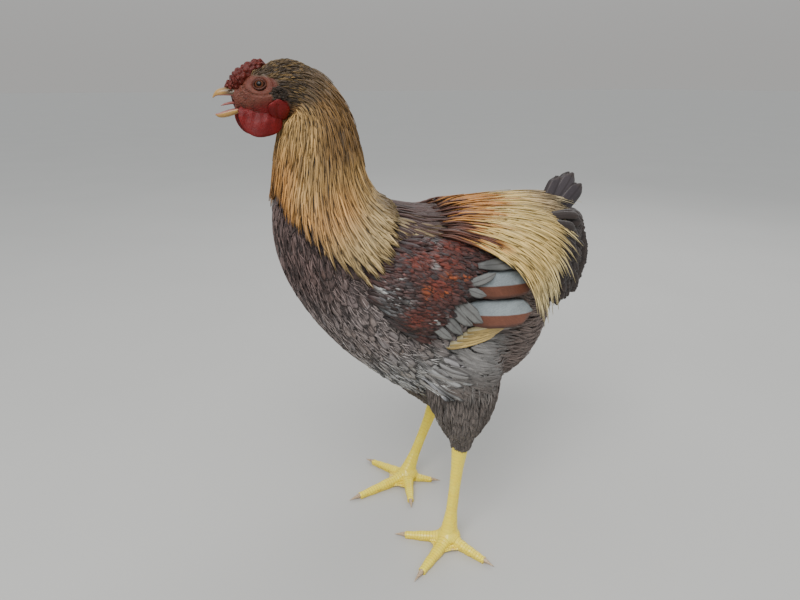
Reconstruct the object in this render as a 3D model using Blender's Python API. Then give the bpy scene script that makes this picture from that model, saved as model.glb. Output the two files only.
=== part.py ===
"""Life-size cockerel of a heavy rose-combed breed, standing still with its beak open.

Metres, +Z up. The bird faces -X and its left side is -Y. The origin is on the floor, under the middle
of the bird's box. Trunk, neck and head are one smooth skin, parted by thin flat cuts. A place on it has
a station along the body, an angle from the ridge of the back (minus on the left side) and a lift off it,
so that wings, cape, saddle and comb are laid on it at a known distance.
"""
import math

import bmesh
import bpy
import numpy as np
from mathutils import Matrix

GAP = 0.0003
STEP = 1e-3
# Colour and roughness of each finish
FINISHES = {
    "body_feathers": ((0.10, 0.08, 0.07), 0.75),
    "hackle_feathers": ((0.62, 0.47, 0.26), 0.65),
    "wing_feathers": ((0.22, 0.24, 0.27), 0.6),
    "tail_feathers": ((0.05, 0.045, 0.05), 0.5),
    "bare_skin": ((0.62, 0.08, 0.06), 0.55),
    "comb_flesh": ((0.66, 0.07, 0.06), 0.5),
    "eye": ((0.45, 0.16, 0.05), 0.08),
    "horn": ((0.42, 0.30, 0.14), 0.4),
    "leg_scales": ((0.80, 0.58, 0.10), 0.4),
    "claw": ((0.72, 0.60, 0.45), 0.35),
}

# One row for each station: ridge x and z, keel x and z, half width, and how far the width leans to the ridge
STATIONS = np.array((
    (0.126, 0.338, 0.133, 0.284, 0.024, 0.10),
    (0.115, 0.347, 0.134, 0.238, 0.044, 0.08),
    (0.093, 0.353, 0.120, 0.197, 0.059, 0.08),
    (0.066, 0.357, 0.093, 0.169, 0.069, 0.10),
    (0.036, 0.359, 0.050, 0.157, 0.076, 0.12),
    (0.006, 0.360, 0.008, 0.153, 0.080, 0.10),
    (-0.020, 0.363, -0.032, 0.171, 0.081, 0.06),
    (-0.038, 0.368, -0.066, 0.198, 0.080, 0.02),
    (-0.049, 0.372, -0.099, 0.230, 0.077, -0.02),
    (-0.056, 0.376, -0.127, 0.267, 0.070, -0.04),
    (-0.061, 0.382, -0.146, 0.305, 0.061, -0.06),
    (-0.066, 0.391, -0.154, 0.341, 0.051, -0.06),
    (-0.071, 0.404, -0.153, 0.370, 0.043, -0.04),
    (-0.074, 0.420, -0.148, 0.396, 0.038, 0.0),
    (-0.078, 0.437, -0.142, 0.418, 0.033, 0.0),
    (-0.084, 0.455, -0.137, 0.436, 0.028, 0.0),
    (-0.095, 0.473, -0.135, 0.447, 0.023, 0.0),
    (-0.112, 0.488, -0.137, 0.451, 0.0190, 0.0),
    (-0.134, 0.4960, -0.146, 0.449, 0.0185, 0.04),
    (-0.154, 0.4920, -0.158, 0.4485, 0.0175, 0.04),
    (-0.170, 0.4825, -0.169, 0.4515, 0.0140, 0.0),
    (-0.180, 0.4750, -0.177, 0.4560, 0.0095, 0.0),
    (-0.190, 0.4765, -0.186, 0.4580, 0.0060, 0.0),
))
ROUNDNESS = 0.90
TAIL_CUT, NECK_CUT, HEAD_CUT, FACE_CUT = 0.0, 11.0, 17.0, 21.0
TRUNK_SIDES, NECK_SIDES, HEAD_SIDES = 22, 18, 18
TRUNK_RINGS, NECK_RINGS, HEAD_RINGS = 18, 10, 9

# Hackle: the core's depth under the skin, the cape's hem from the ridge round to the throat, and the tiers
# of locks from the head down, each as its root station, tip station (none on the cape) and count
CORE_DEPTH = 0.004
CAPE_HEM = np.array((8.0, 8.0, 8.2, 8.3, 8.8, 10.6, 11.4, 11.9, 12.0))
HACKLE_TIERS = ((16.7, 14.4, 7), (15.5, 13.0, 8), (14.2, 11.6, 9), (12.9, None, 17))
LOCK_SHARE = np.array((0.0, 0.24, 0.5, 0.78, 1.0))
LOCK_WIDTH = np.array((0.75, 0.95, 1.0, 0.75, 0.0))
LOCK_THICKNESS = 0.0014
CAPE_LOCK_WIDTH = 0.0115

# Head: places are x and z in the side view
EYE_RADIUS = 0.0052
EYE_PLACE = (-0.1620, 0.4775)
EYE_DEPTH = EYE_RADIUS * 0.62
LID_RADIUS = 0.0011
EAR_PLACE = (-0.1495, 0.4700)
EAR_RADII = (0.0024, 0.0022, 0.0032)
EARLOBE_PLACE = (-0.1468, 0.4580)
EARLOBE_RADII = (0.0078, 0.0022, 0.0084)
EARLOBE_LIFT = 0.0026
# Comb: stations of its rear and front, then its half width and height at shares of its length
COMB_ENDS = (18.9, 21.8)
COMB_SHARE = (0.0, 0.2, 0.5, 0.85, 1.0)
COMB_HALF_WIDTH = (0.0030, 0.0050, 0.0064, 0.0056, 0.0028)
COMB_HEIGHT = (0.0036, 0.0076, 0.0080, 0.0064, 0.0028)
COMB_POINT_RADII = (0.0017, 0.0015, 0.0019)
COMB_LIFT = 0.0006
WATTLE_TOP, WATTLE_X, WATTLE_Y = 0.4550, -0.1634, 0.0100
WATTLE_DROP, WATTLE_REACH, WATTLE_SPREAD = 0.0210, 0.0178, 0.004
# Beak: the edges of both halves in the side view from root to tip, and their half widths
BEAK_TOP = ((-0.1800, 0.4748), (-0.1870, 0.4752), (-0.1930, 0.4738), (-0.1965, 0.4712), (-0.1985, 0.4672))
BEAK_ROOF = ((-0.1795, 0.4662), (-0.1870, 0.4668), (-0.1925, 0.4672), (-0.1958, 0.4676), (-0.1980, 0.4668))
JAW_TOP = ((-0.1780, 0.4598), (-0.1850, 0.4590), (-0.1910, 0.4572), (-0.1955, 0.4552), (-0.1975, 0.4540))
JAW_LOW = ((-0.1774, 0.4548), (-0.1845, 0.4523), (-0.1905, 0.4510), (-0.1950, 0.4514), (-0.1972, 0.4530))
BEAK_HALF_WIDTHS = np.array((0.0078, 0.0062, 0.0045, 0.0028, 0.0008))
JAW_WIDTH_SHARE = 0.92
NOSTRIL_X, NOSTRIL_Y, NOSTRIL_Z = -0.1842, 0.0068, 0.4722
NOSTRIL_RADII = (0.0019, 0.0016, 0.0008)
TONGUE_PATH = ((-0.1788, 0.0, 0.4630), (-0.1840, 0.0, 0.4628), (-0.1890, 0.0, 0.4618), (-0.1925, 0.0, 0.4606))
TONGUE_RADII = (0.0022, 0.0020, 0.0014, 0.0005)

# Wing: the pad's upper and lower edge in the side view, its least thickness and its swell
WING_EDGE_X = (-0.086, -0.076, -0.050, 0.000, 0.030)
WING_EDGE_TOP = (0.318, 0.333, 0.339, 0.333, 0.326)
WING_EDGE_LOW = (0.300, 0.280, 0.262, 0.254, 0.254)
WING_LIFT, WING_THIN, WING_SWELL = 0.0012, 0.0012, 0.0078
# Rows of wing feathers: name, count, x and z of the top and low roots, of the top and low tips,
# half width, and lift off the skin at the root, the middle and the tip
WING_ROWS = (
    ("primary", 4, (-0.006, 0.266), (-0.016, 0.255), (0.056, 0.259), (0.034, 0.246), 0.0050,
     (0.0041, 0.0041, 0.0039)),
    ("secondary", 4, (0.000, 0.318), (-0.002, 0.274), (0.078, 0.315), (0.078, 0.266), 0.0104,
     (0.0061, 0.0079, 0.0067)),
    ("covert", 7, (-0.032, 0.324), (-0.028, 0.266), (0.012, 0.321), (0.014, 0.264), 0.0064,
     (0.0067, 0.0105, 0.0113)),
)
WING_STEP_DOWN = 0.0005
FEATHER_SHARE = np.array((0.0, 0.4, 0.75, 0.94, 1.0))
FEATHER_WIDTH = np.array((0.8, 1.0, 1.0, 0.72, 0.0))
FEATHER_THICKNESS = 0.0012

# Saddle: five lines of its drape from the ridge to the wing, each as root (station and degrees), bend and tip
SADDLE_ROOTS = np.array(((3.1, 6.0), (3.1, 15.0), (3.2, 24.0), (3.4, 32.0), (3.7, 37.0)))
SADDLE_BENDS = np.array(((0.125, 0.010, 0.372), (0.132, 0.034, 0.360), (0.122, 0.066, 0.346),
                         (0.098, 0.088, 0.331), (0.075, 0.095, 0.317)))
SADDLE_TIPS = np.array(((0.191, 0.017, 0.337), (0.180, 0.038, 0.316), (0.150, 0.066, 0.293),
                        (0.110, 0.085, 0.272), (0.084, 0.092, 0.252)))
# Tiers of saddle locks: count, how far along the drape each reaches, how far forward it roots, and its lift
SADDLE_TIERS = ((11, 1.0, 0.0, 0.0), (8, 0.78, 0.5, 0.0024))
SADDLE_LIFT, SADDLE_LOCK_WIDTH, SADDLE_LOCK_THICKNESS = 0.0026, 0.0050, 0.0013
# Its pad: stations of its ends, degrees of its edges, its lift off the skin, least thickness and swell
SADDLE_PAD_ENDS, SADDLE_PAD_EDGES = (4.9, 2.3), (2.5, 40.0)
SADDLE_PAD_LIFT, SADDLE_PAD_THIN, SADDLE_PAD_SWELL = 0.0010, 0.0010, 0.0028

# Tail: tips of the main feathers from the top pair down, and of the coverts over their roots
TAIL_TIPS = ((0.156, 0.002, 0.384), (0.172, 0.003, 0.387), (0.184, 0.004, 0.374), (0.187, 0.013, 0.330),
             (0.188, 0.021, 0.310), (0.184, 0.027, 0.290), (0.174, 0.030, 0.268))
COVERT_TIPS = ((0.172, 0.024, 0.314), (0.163, 0.036, 0.290), (0.146, 0.044, 0.266))
TAIL_ROOT_X, TAIL_ROOT_Z = 0.138, 0.331
TAIL_HALF_WIDTH, COVERT_HALF_WIDTH = 0.0088, 0.0075
TAIL_WIDTH = np.array((0.5, 0.95, 1.0, 0.72, 0.0))
# Its stub: size of each ring against the rump's end, and how far behind it the ring stands
TAIL_STUB = ((0.97, 0.0), (0.95, 0.010), (0.80, 0.022), (0.45, 0.032))

# Legs, as the foot's centre, the hock and the thigh's rings: x, y, z, half length and half width
LEGS = {
    -1: dict(foot=(-0.001, -0.069), hock=(0.0115, -0.066, 0.120), thigh=(
        (0.014, -0.046, 0.240, 0.038, 0.030), (0.015, -0.057, 0.206, 0.041, 0.031),
        (0.013, -0.063, 0.174, 0.036, 0.030), (0.012, -0.066, 0.148, 0.0245, 0.0230),
        (0.0115, -0.066, 0.131, 0.0140, 0.0135), (0.0115, -0.066, 0.120, 0.0098, 0.0094))),
    1: dict(foot=(0.001, 0.051), hock=(0.047, 0.066, 0.092), thigh=(
        (0.000, 0.046, 0.226, 0.038, 0.030), (0.008, 0.055, 0.190, 0.042, 0.031),
        (0.016, 0.060, 0.156, 0.040, 0.029), (0.027, 0.064, 0.127, 0.029, 0.022),
        (0.038, 0.066, 0.106, 0.0175, 0.0140), (0.047, 0.066, 0.092, 0.0105, 0.0098))),
}
ANKLE_HEIGHT = 0.024
# Toes in the order first to fourth: tip of the claw in the ground plan, seen from the foot's centre
TOES = {
    -1: ((0.019, 0.035), (-0.052, 0.031), (-0.059, -0.040), (0.026, -0.054)),
    1: ((0.036, -0.022), (-0.019, -0.056), (-0.083, -0.015), (-0.036, 0.058)),
}
TOE_NAMES = ("hind", "inner", "middle", "outer")
TOE_ROOTS = (0.0056, 0.0068, 0.0073, 0.0064)
TOE_SINK = 0.0006
TOE_PLATE = 0.0112
CLAW_LENGTHS = (0.011, 0.012, 0.014, 0.012)
WEB_LOW, WEB_TOP = 0.0024, 0.0044
# Shank: its plates, how far they stand out as a share of the girth, and the girth from hock to ankle
SCUTES, SCUTE_RELIEF = 10, 0.07
SHANK_SHARE = (0.0, 0.06, 0.22, 0.50, 0.78, 1.0)
SHANK_RADIUS = (0.0086, 0.0084, 0.0066, 0.0057, 0.0061, 0.0086)


# Places on the skin
def spline_rows(table, t):
    """Rows of the table read at fractional row numbers t, on a Catmull-Rom curve."""
    t = np.clip(np.asarray(t, float), 0.0, len(table) - 1.0)
    padded = np.vstack((2 * table[0] - table[1], table, 2 * table[-1] - table[-2]))
    i = np.minimum(t.astype(int), len(table) - 2)
    f = (t - i)[..., None]
    a, b, c, d = (padded[i + k] for k in range(4))
    return 0.5 * (2 * b + (c - a) * f + (2 * a - 5 * b + 4 * c - d) * f**2 + (3 * b - a - 3 * c + d) * f**3)


def skin_point(u, angle):
    """Point of the skin at station u and at an angle in radians from the ridge, minus on the left side."""
    row = spline_rows(STATIONS, u)
    c, s = (np.sign(w) * np.abs(w)**ROUNDNESS for w in (np.cos(angle), np.sin(angle)))
    middle, reach = (row[..., 0:2] + row[..., 2:4]) / 2, (row[..., 0:2] - row[..., 2:4]) / 2
    x = middle[..., 0] + reach[..., 0] * c
    z = middle[..., 1] + reach[..., 1] * c
    y = row[..., 4] * s * (1 + row[..., 5] * c)
    return np.stack((x, y, z), axis=-1)


def skin_normal(u, angle):
    """Outward normal of the skin, square to its two tangents."""
    down = skin_point(u, angle + STEP) - skin_point(u, angle - STEP)
    forward = skin_point(u + STEP, angle) - skin_point(u - STEP, angle)
    normal = np.cross(down, forward)
    return normal / np.linalg.norm(normal, axis=-1, keepdims=True)


def lifted(u, angle, lift):
    """Point at a height above the skin."""
    u, angle, lift = np.broadcast_arrays(np.asarray(u, float), angle, lift)
    return skin_point(u, angle) + skin_normal(u, angle) * lift[..., None]


def skin_at(x, z, side):
    """Station and angle of the skin at a place in the side view, on the side -1 (left) or 1."""
    place = np.stack(np.broadcast_arrays(np.asarray(x, float), z), axis=-1)[..., None, :]
    u = np.linspace(0.0, len(STATIONS) - 1.0, 2000)
    row = spline_rows(STATIONS, u)
    ridge, span = row[:, 0:2], row[:, 2:4] - row[:, 0:2]
    away = place - ridge
    length = np.linalg.norm(span, axis=-1)
    off = (span[:, 0] * away[..., 1] - span[:, 1] * away[..., 0]) / length
    share = (away * span).sum(axis=-1) / length**2
    best = np.argmin(np.abs(off) + np.where((share < -0.05) | (share > 1.05), 1.0, 0.0), axis=-1)
    share = np.take_along_axis(share, best[..., None], axis=-1)[..., 0]
    c = np.clip(1 - 2 * share, -1.0, 1.0)
    return u[best], side * np.arccos(np.sign(c) * np.abs(c)**(1 / ROUNDNESS))


def ease(t):
    """Smooth step from 0 to 1."""
    t = np.clip(t, 0.0, 1.0)
    return t * t * (3 - 2 * t)


# Making objects
def finish(name):
    """A plain Principled surface, shared by every object that names it."""
    made = bpy.data.materials.get(name)
    if made is None:
        colour, roughness = FINISHES[name]
        made = bpy.data.materials.new(name)
        made.use_nodes = True
        surface = made.node_tree.nodes["Principled BSDF"]
        surface.inputs["Base Color"].default_value = (*colour, 1.0)
        surface.inputs["Roughness"].default_value = roughness
    return made


def place_mesh(name, bm, surface):
    """Turns a closed bmesh into a named object, its faces pointing outwards."""
    bmesh.ops.recalc_face_normals(bm, faces=bm.faces)
    mesh = bpy.data.meshes.new(name)
    bm.to_mesh(mesh)
    bm.free()
    made = bpy.data.objects.new(name, mesh)
    bpy.context.scene.collection.objects.link(made)
    mesh.materials.append(surface)
    mesh.shade_smooth()
    return made


def loft(name, rings, surface, mirrored=False, pointed=False):
    """A closed body through rings of equal counts, capped flat at its ends, or run to a point at its far end.

    With mirrored set, the quads of the ring's two halves are split into triangles alike.
    """
    bm = bmesh.new()
    loops = [[bm.verts.new(p) for p in ring] for ring in (rings[:-1] if pointed else rings)]
    count = len(loops[0])
    for lower, upper in zip(loops, loops[1:]):
        for i in range(count):
            j = (i + 1) % count
            if mirrored:
                near, far = (i, j) if i < count // 2 else (j, i)
                bm.faces.new((lower[near], lower[far], upper[far]))
                bm.faces.new((lower[near], upper[far], upper[near]))
            else:
                bm.faces.new((lower[i], lower[j], upper[j], upper[i]))
    bm.faces.new(reversed(loops[0]))
    if pointed:
        tip = bm.verts.new(np.mean(rings[-1], axis=0))
        for i in range(count):
            bm.faces.new((loops[-1][i], loops[-1][(i + 1) % count], tip))
    else:
        bm.faces.new(loops[-1])
    return place_mesh(name, bm, surface)


def skin_body(name, stations, sides, surface, lift=0.0):
    """A stretch of the skin with flat faces at its two end stations, each ring lifted in its own plane."""
    angle = np.arange(sides) * 2 * math.pi / sides
    rings = []
    for u in stations:
        ring, out = skin_point(u, angle), skin_normal(u, angle)
        plane = np.cross(skin_point(u, 0.0) - skin_point(u, math.pi), (0.0, 1.0, 0.0))
        plane /= np.linalg.norm(plane)
        out -= np.outer(out @ plane, plane)
        rings.append(ring + out / np.linalg.norm(out, axis=-1, keepdims=True) * lift)
    return loft(name, rings, surface)


def between(start, end, count):
    """Stations of a stretch, drawn in by half the gap at each end."""
    pace = [np.linalg.norm(skin_point(u + STEP, 1.5) - skin_point(u, 1.5)) / STEP
            for u in (start, end - STEP)]
    return np.linspace(start + GAP / pace[0], end - GAP / pace[1], count)


def sheet(name, inner, outer, surface):
    """A closed plate between two grids of points of the same size, both faces split into triangles alike."""
    rings = [np.vstack((low, high[::-1])) for low, high in zip(inner, outer)]
    return loft(name, rings, surface, mirrored=True)


def vane(name, centres, normals, half_widths, thick, surface, tilt=0.0):
    """A feather or lock: a thin blade along its centre line, four-sided in section and pointed at its tip."""
    centres = np.asarray(centres, float)
    way = np.gradient(centres, axis=0)
    across = np.cross(normals, way)
    across /= np.linalg.norm(across, axis=-1, keepdims=True)
    up = np.cross(way, across)
    up /= np.linalg.norm(up, axis=-1, keepdims=True)
    half_widths = np.asarray(half_widths)[:, None]
    thick = np.broadcast_to(thick, len(centres))[:, None]
    lean = up * tilt * np.minimum(half_widths / half_widths.max(), 1.0)
    edge_a = centres + across * half_widths + lean
    edge_b = centres - across * half_widths - lean
    rings = np.stack((edge_a, centres + up * thick / 2, edge_b, centres - up * thick / 2), axis=1)
    return loft(name, rings, surface, mirrored=True, pointed=True)


def tube(name, path, radii, surface, sides=10, flatten=1.0, up=(0.0, 0.0, 1.0), pointed=False):
    """A closed round body along a path, each ring square to it. flatten scales its height."""
    path = np.asarray(path, float)
    way = np.gradient(path, axis=0)
    way /= np.linalg.norm(way, axis=-1, keepdims=True)
    across = np.cross(way, up)
    across /= np.linalg.norm(across, axis=-1, keepdims=True)
    rise = np.cross(across, way)
    turn = np.arange(sides) * 2 * math.pi / sides
    wide = np.cos(turn)[:, None] * across[:, None, :]
    tall = np.sin(turn)[:, None] * rise[:, None, :] * flatten
    rings = path[:, None, :] + (wide + tall) * np.asarray(radii, float)[:, None, None]
    return loft(name, rings, surface, pointed=pointed)


def ball(name, centre, radii, surface, across=12, along=8):
    """A closed ellipsoid."""
    bm = bmesh.new()
    bmesh.ops.create_uvsphere(bm, u_segments=across, v_segments=along, radius=1.0)
    bmesh.ops.transform(bm, matrix=Matrix.Diagonal((*radii, 1.0)), verts=bm.verts)
    bmesh.ops.translate(bm, vec=centre, verts=bm.verts)
    return place_mesh(name, bm, surface)


def keep_largest(bm):
    """Deletes every closed surface but the one of the largest area."""
    left, groups = set(bm.verts), []
    while left:
        reach = [left.pop()]
        group = set(reach)
        while reach:
            for edge in reach.pop().link_edges:
                for vert in edge.verts:
                    if vert in left:
                        left.discard(vert)
                        group.add(vert)
                        reach.append(vert)
        groups.append(group)
    sizes = [sum(face.calc_area() for face in {f for v in group for f in v.link_faces}) for group in groups]
    largest = groups[sizes.index(max(sizes))]
    bmesh.ops.delete(bm, geom=[v for v in bm.verts if v not in largest], context="VERTS")


def combine(target, pieces, operation):
    """Joins closed pieces to target, or cuts them from it, in one Boolean, and removes the pieces.

    What comes out is split into triangles, and loose scraps are dropped.
    """
    group = bpy.data.collections.new(target.name + "_pieces")
    for piece in pieces:
        group.objects.link(piece)
    change = target.modifiers.new("Boolean", "BOOLEAN")
    change.operation = operation
    change.operand_type = "COLLECTION"
    change.collection = group
    change.solver = "MANIFOLD"
    shape = target.evaluated_get(bpy.context.evaluated_depsgraph_get())
    bm = bmesh.new()
    bm.from_mesh(shape.to_mesh())
    shape.to_mesh_clear()
    target.modifiers.clear()
    keep_largest(bm)
    bmesh.ops.triangulate(bm, faces=bm.faces)
    bm.to_mesh(target.data)
    bm.free()
    target.data.shade_smooth()
    for piece in pieces:
        bpy.data.objects.remove(piece)
    bpy.data.collections.remove(group)
    return target


def sided(name, side):
    """A node's name on the bird's own left or right."""
    return f"{name}_{'left' if side < 0 else 'right'}"


# Body
def make_torso():
    """Trunk from the rump to the foot of the neck, to the tips of its small feathers."""
    return skin_body("torso", between(TAIL_CUT, NECK_CUT, TRUNK_RINGS), TRUNK_SIDES, finish("body_feathers"))


def cape_hem(angle):
    """Station at which the cape ends, from the ridge round to the throat."""
    share = np.abs(angle) / math.pi * (len(CAPE_HEM) - 1)
    return np.interp(share, np.arange(len(CAPE_HEM)), CAPE_HEM)


def make_neck():
    """Neck with its hackle: tiers of pointed locks round a core, the lowest a cape over the shoulders."""
    straw = finish("hackle_feathers")
    core = skin_body("neck", between(NECK_CUT, HEAD_CUT, NECK_RINGS), NECK_SIDES, straw, -CORE_DEPTH)
    locks = []
    for tier, (root, tip, count) in enumerate(HACKLE_TIERS):
        for k in range(count):
            angle = ((k + 0.5 * (tier % 2) + 0.25) / count * 2 - 1) * math.pi
            end = cape_hem(angle) if tip is None else tip
            start = max(root, end + 1.5) - 1.3 * ease(abs(angle) / math.pi) * (tier == 0)
            u = start + (end - start) * LOCK_SHARE
            lift = -CORE_DEPTH - 0.0015 + (CORE_DEPTH + 0.0030) * ease(LOCK_SHARE * 2.5)
            if tip is None:
                lift = lift + (0.0015 + 0.0045 * abs(math.sin(angle))) * ease(LOCK_SHARE * 1.5)
            girth = spline_rows(STATIONS, (start + end) / 2)[4] * 2 * math.pi / count
            width = min(girth * 0.62, CAPE_LOCK_WIDTH) * LOCK_WIDTH
            normals = skin_normal(u, np.full(len(u), angle))
            locks.append(vane(f"lock_{tier}_{k}", lifted(u, angle, lift), normals, width, LOCK_THICKNESS,
                              straw, 0.0005))
    return combine(core, locks, "UNION")


# Head
def make_head():
    """Head from the neck to the root of the beak, with its eye sockets, lids and the cups of its ears."""
    red = finish("bare_skin")
    head = skin_body("head", between(HEAD_CUT, FACE_CUT, HEAD_RINGS), HEAD_SIDES, red)
    lids, cups = [], []
    for side in (-1, 1):
        centre, way = eye_place(side)
        turn = np.arange(10) * 2 * math.pi / 10
        along = np.array((1.0, 0.0, 0.0)) - way * way[0]
        along /= np.linalg.norm(along)
        up = np.cross(way, along) * side
        rim = centre + way * EYE_RADIUS * 0.55
        ring = rim + EYE_RADIUS * (np.outer(np.cos(turn), along) * 0.98 + np.outer(np.sin(turn), up) * 0.82)
        lids.append(hoop(f"lid_{side}", ring, LID_RADIUS, way, red))
        cups.append(ball(f"socket_{side}", centre, (EYE_RADIUS + GAP,) * 3, red))
        u, angle = skin_at(*EAR_PLACE, side)
        cups.append(ball(f"ear_{side}", lifted(u, angle, 0.0006), EAR_RADII, red, 8, 5))
    combine(head, lids, "UNION")
    return combine(head, cups, "DIFFERENCE")


def eye_place(side):
    """Centre of the eye, sunk in the head by two thirds of its radius, and the way it looks."""
    u, angle = skin_at(*EYE_PLACE, side)
    way = skin_normal(u, angle)
    return lifted(u, angle, -EYE_DEPTH), way


def hoop(name, centres, radius, axis, surface, sides=6):
    """A closed ring of round section through centres, about an axis."""
    bm = bmesh.new()
    middle = centres.mean(axis=0)
    turn = np.arange(sides) * 2 * math.pi / sides
    loops = []
    for centre in centres:
        out = (centre - middle) / np.linalg.norm(centre - middle)
        ring = centre + radius * (np.outer(np.cos(turn), out) + np.outer(np.sin(turn), axis))
        loops.append([bm.verts.new(p) for p in ring])
    for here, there in zip(loops, loops[1:] + loops[:1]):
        for i in range(sides):
            j = (i + 1) % sides
            bm.faces.new((here[i], here[j], there[j], there[i]))
    return place_mesh(name, bm, surface)


def make_eye(side):
    """Eyeball."""
    return ball(sided("eye", side), eye_place(side)[0], (EYE_RADIUS,) * 3, finish("eye"))


def make_comb():
    """Low rose comb: a pad across the crown, covered in small blunt points, its leader along the skull."""
    red = finish("comb_flesh")
    rear, front = COMB_ENDS
    across = np.linspace(-1.0, 1.0, 7)
    inner, outer = [], []
    for u in np.linspace(rear, front, 12):
        half, tall, girth = comb_size(u)
        inner.append(lifted(u, across * half / girth, COMB_LIFT))
        outer.append(lifted(u, across * half / girth, COMB_LIFT * 2 + tall * np.sqrt(1 - (across * 0.92)**2)))
    comb = sheet("comb", inner, outer, red)
    points = []
    for row, u in enumerate(rear + (front - rear) * np.linspace(0.12, 0.92, 6)):
        half, tall, girth = comb_size(u)
        for place in ((-0.62, 0.0, 0.62) if row % 2 else (-0.3, 0.3)):
            centre = lifted(u, place * half / girth, 0.0010 + tall * math.sqrt(1 - place**2))
            points.append(ball(f"point_{row}_{place}", centre, COMB_POINT_RADII, red, 6, 4))
    return combine(comb, points, "UNION")


def comb_size(u):
    """Half width and height of the comb at a station, and the half width of the head under it."""
    share = (u - COMB_ENDS[0]) / (COMB_ENDS[1] - COMB_ENDS[0])
    girth = max(spline_rows(STATIONS, u)[4], 0.006)
    return np.interp(share, COMB_SHARE, COMB_HALF_WIDTH), np.interp(share, COMB_SHARE, COMB_HEIGHT), girth


def make_wattle(side):
    """Round wattle hung from the lower jaw, thickest at its middle and folded once along its length."""
    red = finish("comb_flesh")
    share = np.linspace(0.0, 1.0, 8)
    height = WATTLE_TOP - WATTLE_DROP * share
    half_length = WATTLE_REACH * np.sqrt(np.clip(1 - (share * 1.45 - 0.45)**2, 0.03, 1.0))
    half_thick = np.interp(share, (0.0, 0.4, 1.0), (0.0017, 0.0023, 0.0012))
    turn = np.arange(12) * 2 * math.pi / 12
    rings = []
    for s, z, length, thick in zip(share, height, half_length, half_thick):
        x = WATTLE_X + WATTLE_SPREAD * s + length * np.cos(turn)
        fold = 0.0011 * np.sin(3.2 * (x - WATTLE_X) / WATTLE_REACH + 2.0 * s) * ease(s * 2)
        y = side * (WATTLE_Y + WATTLE_SPREAD * s) + thick * np.sin(turn) + fold * side
        rings.append(np.stack((x, y, np.full(12, z)), axis=-1))
    wattle = loft(sided("wattle", side), rings, red)
    return combine(wattle, [cheeks(red)], "DIFFERENCE")


def make_earlobe(side):
    """Oval earlobe under the ear, flat on the cheek."""
    red = finish("comb_flesh")
    u, angle = skin_at(*EARLOBE_PLACE, side)
    lobe = ball(sided("earlobe", side), lifted(u, angle, EARLOBE_LIFT), EARLOBE_RADII, red)
    return combine(lobe, [cheeks(red)], "DIFFERENCE")


def cheeks(surface):
    """The head's skin with the gap round it, to be cut from the flesh that lies on it."""
    return skin_body("cheeks", between(HEAD_CUT, FACE_CUT, HEAD_RINGS + 4), HEAD_SIDES, surface, GAP)


# Beak
def horn(name, upper, lower, half_widths, surface, sides=10):
    """One half of the beak: rings between its two edges in the side view, blunt at the tip."""
    turn = np.arange(sides) * 2 * math.pi / sides
    rings = []
    share = np.linspace(0.0, 1.0, 7)
    rows = [spline_rows(np.column_stack((upper, lower, half_widths)), t * (len(upper) - 1)) for t in share]
    for ux, uz, lx, lz, half in rows:
        x = (ux + lx) / 2 + (ux - lx) / 2 * np.sin(turn)
        z = (uz + lz) / 2 + (uz - lz) / 2 * np.sin(turn)
        rings.append(np.stack((x, half * np.cos(turn), z), axis=-1))
    return loft(name, rings, surface)


def make_beak_upper():
    """Upper half of the beak, hooked a little at the tip, with two nostrils near its root."""
    brown = finish("horn")
    beak = horn("beak_upper", BEAK_TOP, BEAK_ROOF, BEAK_HALF_WIDTHS, brown)
    holes = [ball(f"nostril_{side}", (NOSTRIL_X, side * NOSTRIL_Y, NOSTRIL_Z), NOSTRIL_RADII, brown, 8, 6)
             for side in (-1, 1)]
    return combine(beak, holes, "DIFFERENCE")


def make_beak_lower():
    """Lower half of the beak, held open."""
    return horn("beak_lower", JAW_TOP, JAW_LOW, BEAK_HALF_WIDTHS * JAW_WIDTH_SHARE, finish("horn"))


def make_tongue():
    """Pointed tongue in the open beak, from the root of the mouth."""
    return tube("tongue", TONGUE_PATH, TONGUE_RADII, finish("bare_skin"), 8, 0.55)


# Wing
def wing_pad(side, surface):
    """The folded arm under the coverts, thickest behind the shoulder and thin at every edge."""
    inner, outer = [], []
    across = np.linspace(0.0, 1.0, 7)
    for share in np.linspace(0.0, 1.0, 9):
        x = WING_EDGE_X[0] + share * (WING_EDGE_X[-1] - WING_EDGE_X[0])
        top, low = (np.interp(x, WING_EDGE_X, edge) for edge in (WING_EDGE_TOP, WING_EDGE_LOW))
        u, angle = skin_at(x, top + (low - top) * across, side)
        swell = np.sin(math.pi * np.clip(across, 0.04, 0.96))**0.6
        shape = swell * ease(share * 3.5 + 0.05) * (1 - 0.62 * ease(share * 1.6 - 0.6))
        thick = WING_THIN + WING_SWELL * shape
        inner.append(lifted(u, angle, WING_LIFT))
        outer.append(lifted(u, angle, WING_LIFT + thick))
    return sheet(sided("wing", side), inner, outer, surface)


def make_wing(side):
    """Closed wing: primaries, broad secondaries and a row of coverts, each row lying over the one before."""
    slate = finish("wing_feathers")
    pad = wing_pad(side, slate)
    vanes = []
    for name, count, root_top, root_low, tip_top, tip_low, half_width, lifts in WING_ROWS:
        for k, t in enumerate(np.linspace(0.0, 1.0, count)):
            root = np.array(root_top) * (1 - t) + np.array(root_low) * t
            tip = np.array(tip_top) * (1 - t) + np.array(tip_low) * t
            plan = root + (tip - root) * FEATHER_SHARE[:, None]
            u, angle = skin_at(plan[:, 0], plan[:, 1], side)
            lift = np.interp(FEATHER_SHARE, (0.0, 0.5, 1.0), lifts) - WING_STEP_DOWN * k
            vanes.append(vane(f"{name}_{k}", lifted(u, angle, lift), skin_normal(u, angle),
                              half_width * FEATHER_WIDTH, FEATHER_THICKNESS, slate, side * 0.0007))
    return combine(pad, vanes, "UNION")


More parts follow.
